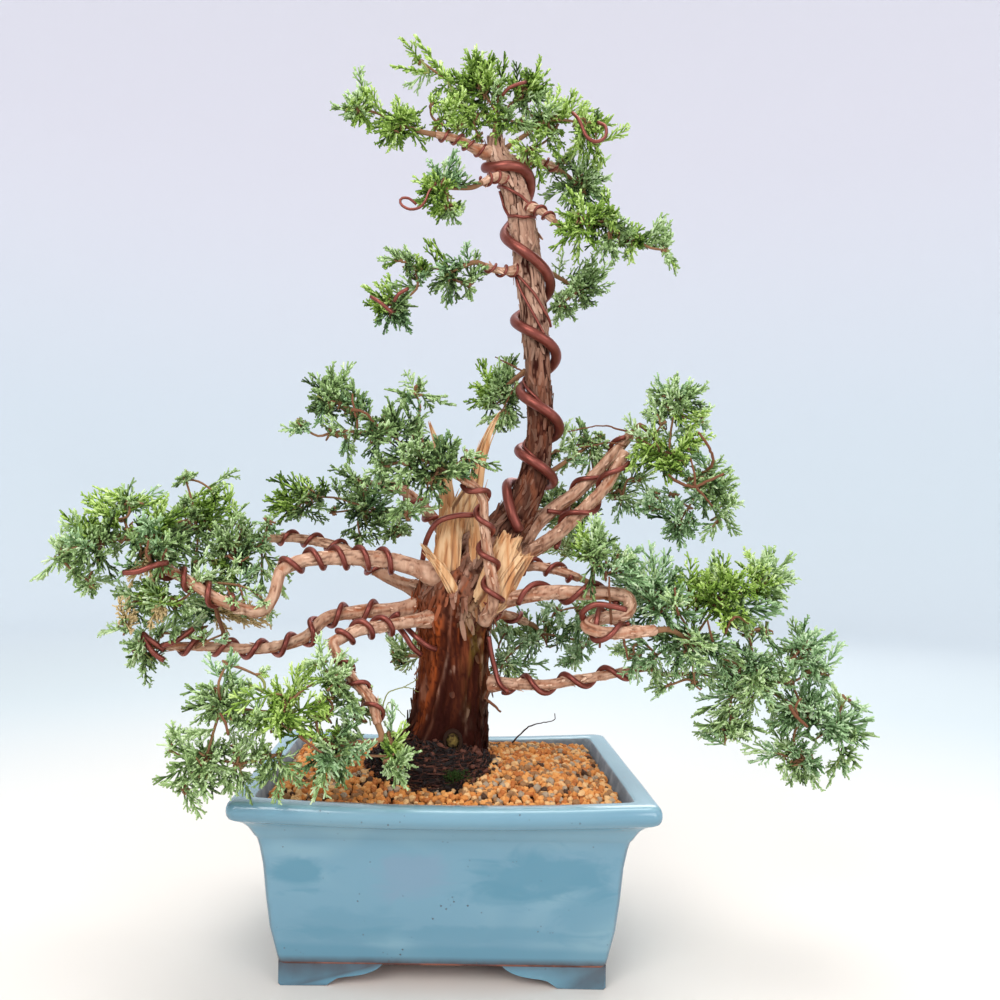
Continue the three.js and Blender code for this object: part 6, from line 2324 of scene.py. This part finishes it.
@dataclass
class Growth:
    """One mass as it grows: twigs that branch from one stem by a seeded rule, and sprays of slim cords."""

    kin: "Foliage"
    mass: Mass
    rng: np.random.Generator
    leaves: Shape = field(default_factory=Shape)
    twigs: Shape = field(default_factory=Shape)
    area: float = 390.0
    length: tuple[float, float] = (26.0, 41.0)
    cord: float = 0.88
    inner: float = 0.25
    fork_area: float = 1500.0
    link_spacing: float = 4.5
    fan_length: tuple[float, float] = (28.0, 36.0)
    shoot_length: float = 46.0
    near: float = 48.0
    # A tip may lie this deep in the mass's other clumps, this much deeper in other masses, this near a limb.
    own_share: float = 0.82
    next_share: float = 0.12
    limb_gap: float = 2.5

    def twig(self, places: Sequence[Array], radii: tuple[float, float], count: int, sides: int,
             finish: int = 0) -> Array:
        """Sweeps a twig through places.

        Args:
            places: where it passes.
            radii: its radius at foot and tip.
            count: how many points it has.
            sides: how many sides it has.
            finish: 0 for brown, 1 for green.

        Returns:
            Its points.
        """
        line = Route(places).even(np.linspace(0, 1, count))
        swept(self.twigs, line, np.linspace(*radii, count), sides, finish)
        return line

    def stem(self) -> Array:
        """Adds the stem, from what carries the mass to the middle of its first clump.

        Returns:
            Its points.
        """
        end, source = np.array(self.mass.clumps[0][:3], float), self.mass.source
        if source == TRUNK_TIP:
            start, heading = np.array(Trunk().route[-1], float), UP
        elif isinstance(source, str):
            start, before = Route(LIMB_OF[source].route).even(np.array([0.995, 0.94]))
            heading = unit(start - before)
        else:
            start = np.array(source, float)
            heading = unit(end - start)
        pull = start + heading * min(10, np.linalg.norm(end - start) * 0.3)
        return self.twig([start, pull, *self.mass.via, end], (2.3, 1.1), 14, 8)

    def surface(self, radii: Array) -> float:
        """Gives about how large a clump's surface is."""
        return 4 * math.pi / 3 * float(radii[0] * radii[1] + radii[0] * radii[2] + radii[1] * radii[2])

    def clump_sprays(self, index: int, forks: Array) -> Places:
        """Spreads sprays over one clump.

        Args:
            index: the clump's number.
            forks: where its twigs fork.

        Returns:
            Where the sprays stand.
        """
        rng, clump = self.rng, self.mass.clumps[index]
        middle, radii = np.array(clump[:3]), np.array(clump[3:])
        count = round(self.surface(radii) / self.area * self.mass.density)
        outer = even_directions(count, index * 1.7)
        inner = even_directions(round(count * self.inner), index * 2.9 + 1)
        directions = unit(np.vstack([outer, inner]) + rng.normal(0, 0.14, (len(outer) + len(inner), 3)))
        spread = np.arccos(np.clip(directions @ unit(forks - middle).T, -1, 1))
        nearest = np.argmin(spread, axis=1)
        apart = spread[np.arange(len(nearest)), nearest]
        lobed = rng.uniform(0.9, 1.14, len(forks))[nearest] - 0.34 * np.clip(apart / 0.6, 0, 1.2) ** 2
        reach = [rng.uniform(0.88, 1.1, len(outer)), rng.uniform(0.5, 0.75, len(inner))]
        tips = middle + directions * radii * (lobed * np.concatenate(reach))[:, None]
        heading = unit(unit(tips - forks[nearest]) + np.array([0, 0, 0.14]) + rng.normal(0, 0.2, tips.shape))
        room = np.linalg.norm(tips - forks[nearest], axis=1) + 5
        length = np.minimum(rng.uniform(*self.length, len(tips)), room)
        places = Places(tips - heading * length[:, None], heading, length)
        others = [other for other in self.mass.clumps if other is not clump]
        foreign = [other for mass in self.kin.masses if mass is not self.mass for other in mass.clumps]
        own = depth_in([clump], tips)
        keep = depth_in(others, tips) > np.minimum(self.own_share, own)
        keep &= depth_in(foreign, tips) > own - self.next_share
        keep &= self.clear_of_sky(places) & self.clear_of_limbs(tips)
        keep &= rng.random(len(tips)) > 0.06 + 0.3 * step(0.3, 0.7, -directions[:, 2])
        return places.only(keep)

    def link_sprays(self, line: Array) -> Places:
        """Sets sprays along a twig between clumps.

        Args:
            line: points along the twig.

        Returns:
            Where the sprays stand.
        """
        rng, route = self.rng, Route(line)
        line = route.even(np.linspace(0, 1, max(2, round(route.length() / self.link_spacing))))
        along = unit(np.gradient(line, axis=0))
        feet = line + rng.normal(0, 0.6, line.shape)
        spin = rng.uniform(0, 2 * math.pi, len(line))
        side = unit(np.cross(along, UP + 0.01))
        out = np.cos(spin)[:, None] * side + np.sin(spin)[:, None] * np.cross(side, along)
        heading = unit(out + 0.55 * along + np.array([0, 0, 0.3]) + rng.normal(0, 0.15, out.shape))
        places = Places(feet, heading, rng.uniform(17, 29, len(line)))
        tips = feet + heading * places.length[:, None]
        keep = (depth_in(self.mass.clumps, tips) > 0.75) & self.clear_of_limbs(tips)
        return places.only(keep & self.clear_of_sky(places))

    def clear_of_sky(self, places: Places) -> Array:
        """Finds the sprays that leave the openings free, seen from where the photograph was taken.

        Args:
            places: where the sprays stand.

        Returns:
            Whether each is clear.
        """
        eye = np.array(Studio.camera_place)
        keep = np.ones(len(places.feet), bool)
        for share in (0.2, 0.5, 0.85):
            points = places.feet + places.heading * (places.length * share)[:, None]
            seen = eye + (points - eye) * (-eye[1] / (points[:, 1:2] - eye[1]))
            for x, z, radius in OPENINGS:
                keep &= np.hypot(seen[:, 0] - x, seen[:, 2] - z) > radius
        return keep

    def clear_of_limbs(self, points: Array) -> Array:
        """Finds the points that lie outside the trunk and the boughs.

        Args:
            points: the places.

        Returns:
            Whether each is clear.
        """
        fine = np.linspace(0, 1, 40)
        clear = np.ones(len(points), bool)
        trunk = Trunk()
        limbs = [(Route(trunk.route).at(fine), trunk.radius(fine))]
        limbs += [(Route(limb.route).even(fine), limb.radius(fine)) for limb in LIMBS]
        for line, radius in limbs:
            gap = np.linalg.norm(points[:, None] - line[None], axis=2) - radius
            clear &= gap.min(axis=1) > self.limb_gap
        return clear

    def shade(self, places: Places) -> Array:
        """Deals each spray its painted light and shade: lighter outside and above, darker inside and below.

        Args:
            places: where the sprays stand.

        Returns:
            The number of each one's finish.
        """
        mass, rng, count = self.mass, self.rng, len(places.feet)
        middle = places.feet + places.heading * 14
        # Painted light and shade: sprays near a clump's surface and facing up get lighter greens, those deep
        # inside darker.
        depth = 2.1 * step(0.25, 0.9, depth_in(mass.clumps, middle))
        value = 1.1 + mass.lift + depth + 0.6 * places.heading[:, 2] + rng.normal(0, 0.8, count)
        region = self.kin.regions.layered(middle / 46, 2) + rng.normal(0, 0.12, count)
        greens = [Palette.SEA, Palette.BLUE, Palette.FRESH]
        own = greens.index(mass.palette)
        pick = np.clip(own + (region > 0.16) - (region < -0.2), 0, max(own, 1)).astype(int)
        for spot in mass.bright:
            pick[np.linalg.norm(middle - np.array(spot[:3]), axis=1) < spot[3]] = 2
        first = np.array([green.first for green in greens])[pick]
        return np.clip(np.round(value), 0, SHADES - 3).astype(int) + first

    def fingers(self, cords: Cords, places: Places, rolls: Array, tone: Array) -> None:
        """Adds sprays of one kind: every cord a slim closed finger, darker at its foot for painted shade and
        lighter at its tip, partly fresh growth and partly a painted highlight.

        Args:
            cords: the spray.
            places: where each copy stands.
            rolls: each copy's roll.
            tone: the number of each copy's shade.
        """
        turn, copies = turned_frames(places.heading, rolls), len(places.feet)
        scale, feet = places.length[:, None, None], places.feet[:, None]
        full = np.clip(places.length / 28, 0.88, 1.12)
        angle = circle(3)[:, None]
        for bent in (True, False):
            pick = (cords.order == 1) == bent
            thick, order = cords.thick[pick], cords.order[pick]
            bases, bends, tips = ((np.einsum("nij,kj->nki", turn, points[pick]) * scale + feet).reshape(-1, 3)
                                  for points in (cords.bases, cords.bends, cords.tips))
            radius = np.tile(thick, copies) * self.cord * np.repeat(full, len(thick))
            along = unit(tips - bases)
            side = unit(np.cross(along, np.where(np.abs(along[:, 2:3]) < 0.8, UP, SIDEWAYS)))
            reach = np.cos(angle) * side[:, None] + np.sin(angle) * np.cross(along, side)[:, None]
            reach = reach * radius[:, None, None]
            rings = [bases[:, None] + reach * 0.85, tips[:, None] + reach * 0.78]
            if bent:
                rings.insert(1, bends[:, None] + reach)
            shades = np.repeat(tone, len(thick))
            low = (shades // SHADES) * SHADES
            outer = np.tile(order, copies) == 2
            number = np.tile(np.arange(len(thick)), copies)
            # Painted shade: side cords are a step darker, outer branchlets a step lighter.
            dark = shades + (number % 4 == 1) + np.where(outer, 1, -1 if bent else 0)
            dark = np.clip(dark, low, low + SHADES - 1)
            # Lighter tips: fresher growth and a painted highlight, much lighter on two cords in five.
            light = np.clip(dark + np.where(number % 5 < 2, 3, 1), low, low + SHADES - 1) if bent else dark
            sides = np.repeat(np.stack([dark, light][:len(rings) - 1], axis=1), 3, axis=1)
            prisms(self.leaves, np.stack(rings, axis=1), [sides.ravel(), dark, light])

    def clump(self, index: int) -> None:
        """Adds one clump's twigs and sprays.

        Args:
            index: its number.
        """
        rng = self.rng
        middle, radii = (np.array(part, float) for part in np.split(np.array(self.mass.clumps[index]), 2))
        count = int(np.clip(round(self.surface(radii) / self.fork_area), 4, 9))
        forks = middle + even_directions(count, index * 1.3) * radii * rng.uniform(0.14, 0.36, (count, 1))
        places = self.clump_sprays(index, forks)
        feet = places.feet
        if not len(feet):
            return
        bits = np.linspace(0, 1, 4)
        sway = rng.normal(0, 1.6, (count, 1, 3)) * np.sin(bits * math.pi)[None, :, None]
        lines = middle + (forks - middle)[:, None] * bits[None, :, None] + sway
        bundle(self.twigs, lines, np.tile(np.linspace(1.1, 0.8, 4), (count, 1)), 5)
        start = forks[np.argmin(np.linalg.norm(feet[:, None] - forks[None], axis=2), axis=1)]
        pulled = (start + feet) / 2 - places.heading * 2.5 + rng.normal(0, 0.8, feet.shape)
        ends = feet + places.heading * places.length[:, None] * 0.12
        lines = np.stack([start, pulled, feet, ends], axis=1)
        green = (rng.random(len(feet)) < 0.3).astype(int)
        bundle(self.twigs, lines, np.tile([0.85, 0.72, 0.62, 0.5], (len(feet), 1)), 4, green)
        self.strew(places)

    def grow(self) -> None:
        """Makes the mass's two pieces, its sprays and its twigs."""
        mass = self.mass
        middles: list[Array] = []
        extra = [self.link_sprays(self.stem()[6:])]
        for index, clump in enumerate(mass.clumps):
            middle = np.array(clump[:3], float)
            if middles:
                parent = min(middles, key=lambda place: float(np.linalg.norm(place - middle)))
                bend = (parent + middle) / 2 + self.rng.normal(0, 3, 3)
                extra.append(self.link_sprays(self.twig([parent, bend, middle], (1.05, 0.8), 8, 6)))
            middles.append(middle)
            self.clump(index)
        for places in extra:
            self.strew(places)
        for k, place in enumerate(mass.shoots):
            self.shoot(place, k)
        for tips, tone in ((mass.fans, None), (mass.dead, Palette.DEAD.first + 5)):
            for tip in tips:
                self.fan(np.array(tip, float), tone)
        slot = "foliage_fresh" if mass.palette is Palette.FRESH else "foliage"
        self.leaves.build(f"sprays_{mass.name}", SCALES, slot, [f"foliage_{mass.name}"])
        self.twigs.build(f"twigs_{mass.name}", [TWIG, GREEN_TWIG], "bough_bark")

    def strew(self, places: Places, tone: int | None = None) -> None:
        """Adds a spray of any kind at each place.

        Args:
            places: where they stand.
            tone: the number of one finish, or nothing to deal each its own.
        """
        count, sprays = len(places.feet), self.kin.sprays
        tones = self.shade(places) if tone is None else np.full(count, tone)
        kind = self.rng.integers(0, len(sprays), count)
        roll = self.rng.uniform(0, 2 * math.pi, count)
        for k, cords in enumerate(sprays):
            pick = kind == k
            if pick.any():
                self.fingers(cords, places.only(pick), roll[pick], tones[pick])

    def reach_out(self, tip: Array, length: float) -> tuple[Array, Array]:
        """Finds where a spray that ends at a tip starts.

        Args:
            tip: where it ends.
            length: how long it may be.

        Returns:
            The middle of the clump that it grows from, and its foot.
        """
        middles = np.array([clump[:3] for clump in self.mass.clumps], float)
        start = middles[np.argmin(np.linalg.norm(middles - tip, axis=1))]
        return start, tip - unit(tip - start) * min(length, 0.85 * float(np.linalg.norm(tip - start)))

    def shoot(self, place: Sequence[float], k: int) -> None:
        """Sends one long shoot out to a tip, with a fan on each side unless its foot is given.

        Args:
            place: its tip, and its foot where that is given.
            k: its number.
        """
        tip = np.array(place[:3], float)
        start, foot = self.reach_out(tip, self.shoot_length)
        if len(place) > 3:
            foot = np.array(place[3:], float)
            start, _ = self.reach_out(foot, self.shoot_length)
        heading, length = unit(tip - foot), float(np.linalg.norm(tip - foot))
        bend = self.rng.normal(0, 1.5, 3)
        leads = [start, (start + foot) / 2 + bend] if np.linalg.norm(foot - start) < self.near else []
        self.twig([*leads, foot, foot + heading * length * 0.3], (1.1, 0.7), 8, 6, 1)
        places, tone = Places(foot[None], heading[None], np.array([length])), self.mass.palette.first + 3
        self.fingers(self.kin.shoots[k % 4], places, np.array([k * 1.3]), np.array([tone]))
        if len(place) == 3:
            self.pair(foot, heading, 0.6 * length)

    def fan(self, tip: Array, tone: int | None) -> None:
        """Grows a twig that ends in one spray at a tip and two shorter ones beside it.

        Args:
            tip: where the spray ends.
            tone: the number of one finish, or nothing to deal each its own.
        """
        start, foot = self.reach_out(tip, self.rng.uniform(*self.fan_length))
        heading, length = unit(tip - foot), float(np.linalg.norm(tip - foot))
        bend = (start + foot) / 2 + self.rng.normal(0, 1.5, 3)
        self.twig([start, bend, foot, foot + heading * length * 0.25], (1.1, 0.6), 6, 5)
        self.strew(Places(foot[None], heading[None], np.array([length])), tone)
        self.pair(foot, heading, 0.75 * length, tone)

    def pair(self, foot: Array, heading: Array, length: float, tone: int | None = None) -> None:
        """Sets a shorter spray on each side of a foot.

        Args:
            foot: where they start.
            heading: the direction between them.
            length: about how long they are.
            tone: the number of one finish, or nothing to deal each its own.
        """
        rng = self.rng
        side = unit(np.cross(heading, rng.normal(size=3)))
        headings = unit(np.stack([heading + 0.75 * side, heading - 0.75 * side]) + rng.normal(0, 0.12, (2, 3)))
        feet = np.stack([foot, foot]) + headings * 0.5
        self.strew(Places(feet, headings, length * rng.uniform(0.85, 1.15, 2)), tone)


@dataclass
class Foliage:
    """Every mass, and the kinds of sprays that they share."""

    masses: tuple[Mass, ...] = MASSES
    kinds: int = 16
    seed: int = 401
    first_seed: int = 500

    def __post_init__(self) -> None:
        """Grows the sprays and the shoots that all masses share."""
        rng = np.random.default_rng(self.seed)
        habits = (Habit.TUFT, Habit.FAN, Habit.FROND, Habit.FROND)
        self.sprays = [spray(habits[k % 4], rng) for k in range(self.kinds)]
        self.shoots = [spray(Habit.SHOOT, rng) for _ in range(4)]
        self.regions = Noise(self.seed + 1)

    def dress(self) -> None:
        """Makes every mass."""
        for index, mass in enumerate(self.masses):
            Growth(self, mass, np.random.default_rng(self.first_seed + index)).grow()


# Studio


@dataclass
class Studio:
    """A pale sweep, soft lights and the camera in front of the pot, level and a little rolled."""

    bowl: float = 2.6
    bend: float = 0.9
    wall: float = 2.4
    lens: float = 31.68
    camera_place: Point = (0.0, -684.0, 307.0)
    roll: float = 0.8
    shift: tuple[float, float] = (0.052, 0.04)
    sky: Colour = (0.97, 0.975, 1.0, 1.0)
    sky_strength: float = 0.78
    # Each lamp's name, place and target in metres, size, power and colour.
    lamps: tuple[tuple[str, Point, Point, float, float, Point], ...] = (
        ("key_lamp", (-0.9, -1.7, 1.5), (0, 0, 0.35), 1.3, 22, (1.0, 0.975, 0.94)),
        ("fill_lamp", (1.2, -1.8, 0.9), (0, 0, 0.3), 1.3, 13, (1.0, 0.99, 0.98)),
        ("top_lamp", (0.1, 0.1, 2.2), (0, 0, 0.3), 1.4, 18, (1.0, 1.0, 1.0)),
        ("back_lamp", (0.6, 1.8, 1.5), (0, 0, 0.4), 1.2, 10, (0.98, 0.99, 1.0)))

    def sweep(self) -> None:
        """Makes the round floor that bends up into a wall."""
        columns = 96
        arc = np.linspace(0, math.pi / 2, 14)
        curve = self.bowl + self.bend * np.sin(arc)
        radius = np.concatenate([[0.02, self.bowl / 2], curve, [self.bowl + self.bend]])
        rise = np.concatenate([[0, 0], self.bend * (1 - np.cos(arc)), [self.bend + self.wall]])
        spin = circle(columns)
        points = np.stack([radius[:, None] * np.cos(spin), radius[:, None] * np.sin(spin),
                           np.broadcast_to(rise[:, None], (len(rise), columns))], axis=-1).reshape(-1, 3)
        faces = [list(map(int, row)) for row in grid_faces(len(rise), columns)] + [list(range(columns))]
        mesh = bpy.data.meshes.new("studio_sweep")
        mesh.from_pydata(points.tolist(), [], faces)
        mesh.polygons.foreach_set("use_smooth", [True] * len(mesh.polygons))
        mesh.materials.append(Sweep().material())
        floor = bpy.data.objects.new("studio_sweep", mesh)
        bpy.context.scene.collection.objects.link(floor)

    def lamp(self, name: str, place: Point, target: Point, size: float, power: float, colour: Point) -> None:
        """Adds one soft lamp that faces a target.

        Args:
            name: its name.
            place, target: where it hangs and what it faces, in metres.
            size, power, colour: those of its disk.
        """
        data = bpy.data.lights.new(name, "AREA")
        data.shape, data.size, data.energy, data.color = "DISK", size, power, colour
        lamp = bpy.data.objects.new(name, data)
        lamp.location = place
        facing = np.array(target) - np.array(place)
        lamp.rotation_mode = "QUATERNION"
        lamp.rotation_quaternion = Vector(facing).to_track_quat("-Z", "Y")
        bpy.context.scene.collection.objects.link(lamp)

    def light(self) -> None:
        """Sets the soft light from the sky and the lamps."""
        world = bpy.data.worlds.new("soft_sky")
        world.use_nodes = True
        shade = world.node_tree.nodes["Background"]
        shade.inputs["Color"].default_value = self.sky
        shade.inputs["Strength"].default_value = self.sky_strength
        bpy.context.scene.world = world
        for lamp in self.lamps:
            self.lamp(*lamp)

    def camera(self) -> None:
        """Places the camera at the photograph's viewing angle."""
        data = bpy.data.cameras.new("camera")
        data.sensor_width, data.lens = 36.0, self.lens
        data.shift_x, data.shift_y = self.shift
        data.clip_start, data.clip_end = 0.01, 50
        camera = bpy.data.objects.new("camera", data)
        camera.location = np.array(self.camera_place) * MM + ORIGIN
        camera.rotation_euler = (math.pi / 2, -math.radians(self.roll), 0)
        bpy.context.scene.collection.objects.link(camera)
        bpy.context.scene.camera = camera
        bpy.context.scene.view_settings.view_transform = "Standard"

    def dress(self) -> None:
        """Sets the studio up."""
        self.sweep()
        self.light()
        self.camera()


def main() -> None:
    """Builds every sub-assembly in order."""
    logging.basicConfig(level=logging.INFO, format="%(name)s %(message)s", stream=sys.stdout)
    Studio().dress()
    for part in (Pot(), Soil(), RootMat(), Trunk(), Deadwood(), Boughs(), Wires(), BareTwigs(), Foliage()):
        part.dress()


if __name__ == "__main__":
    main()
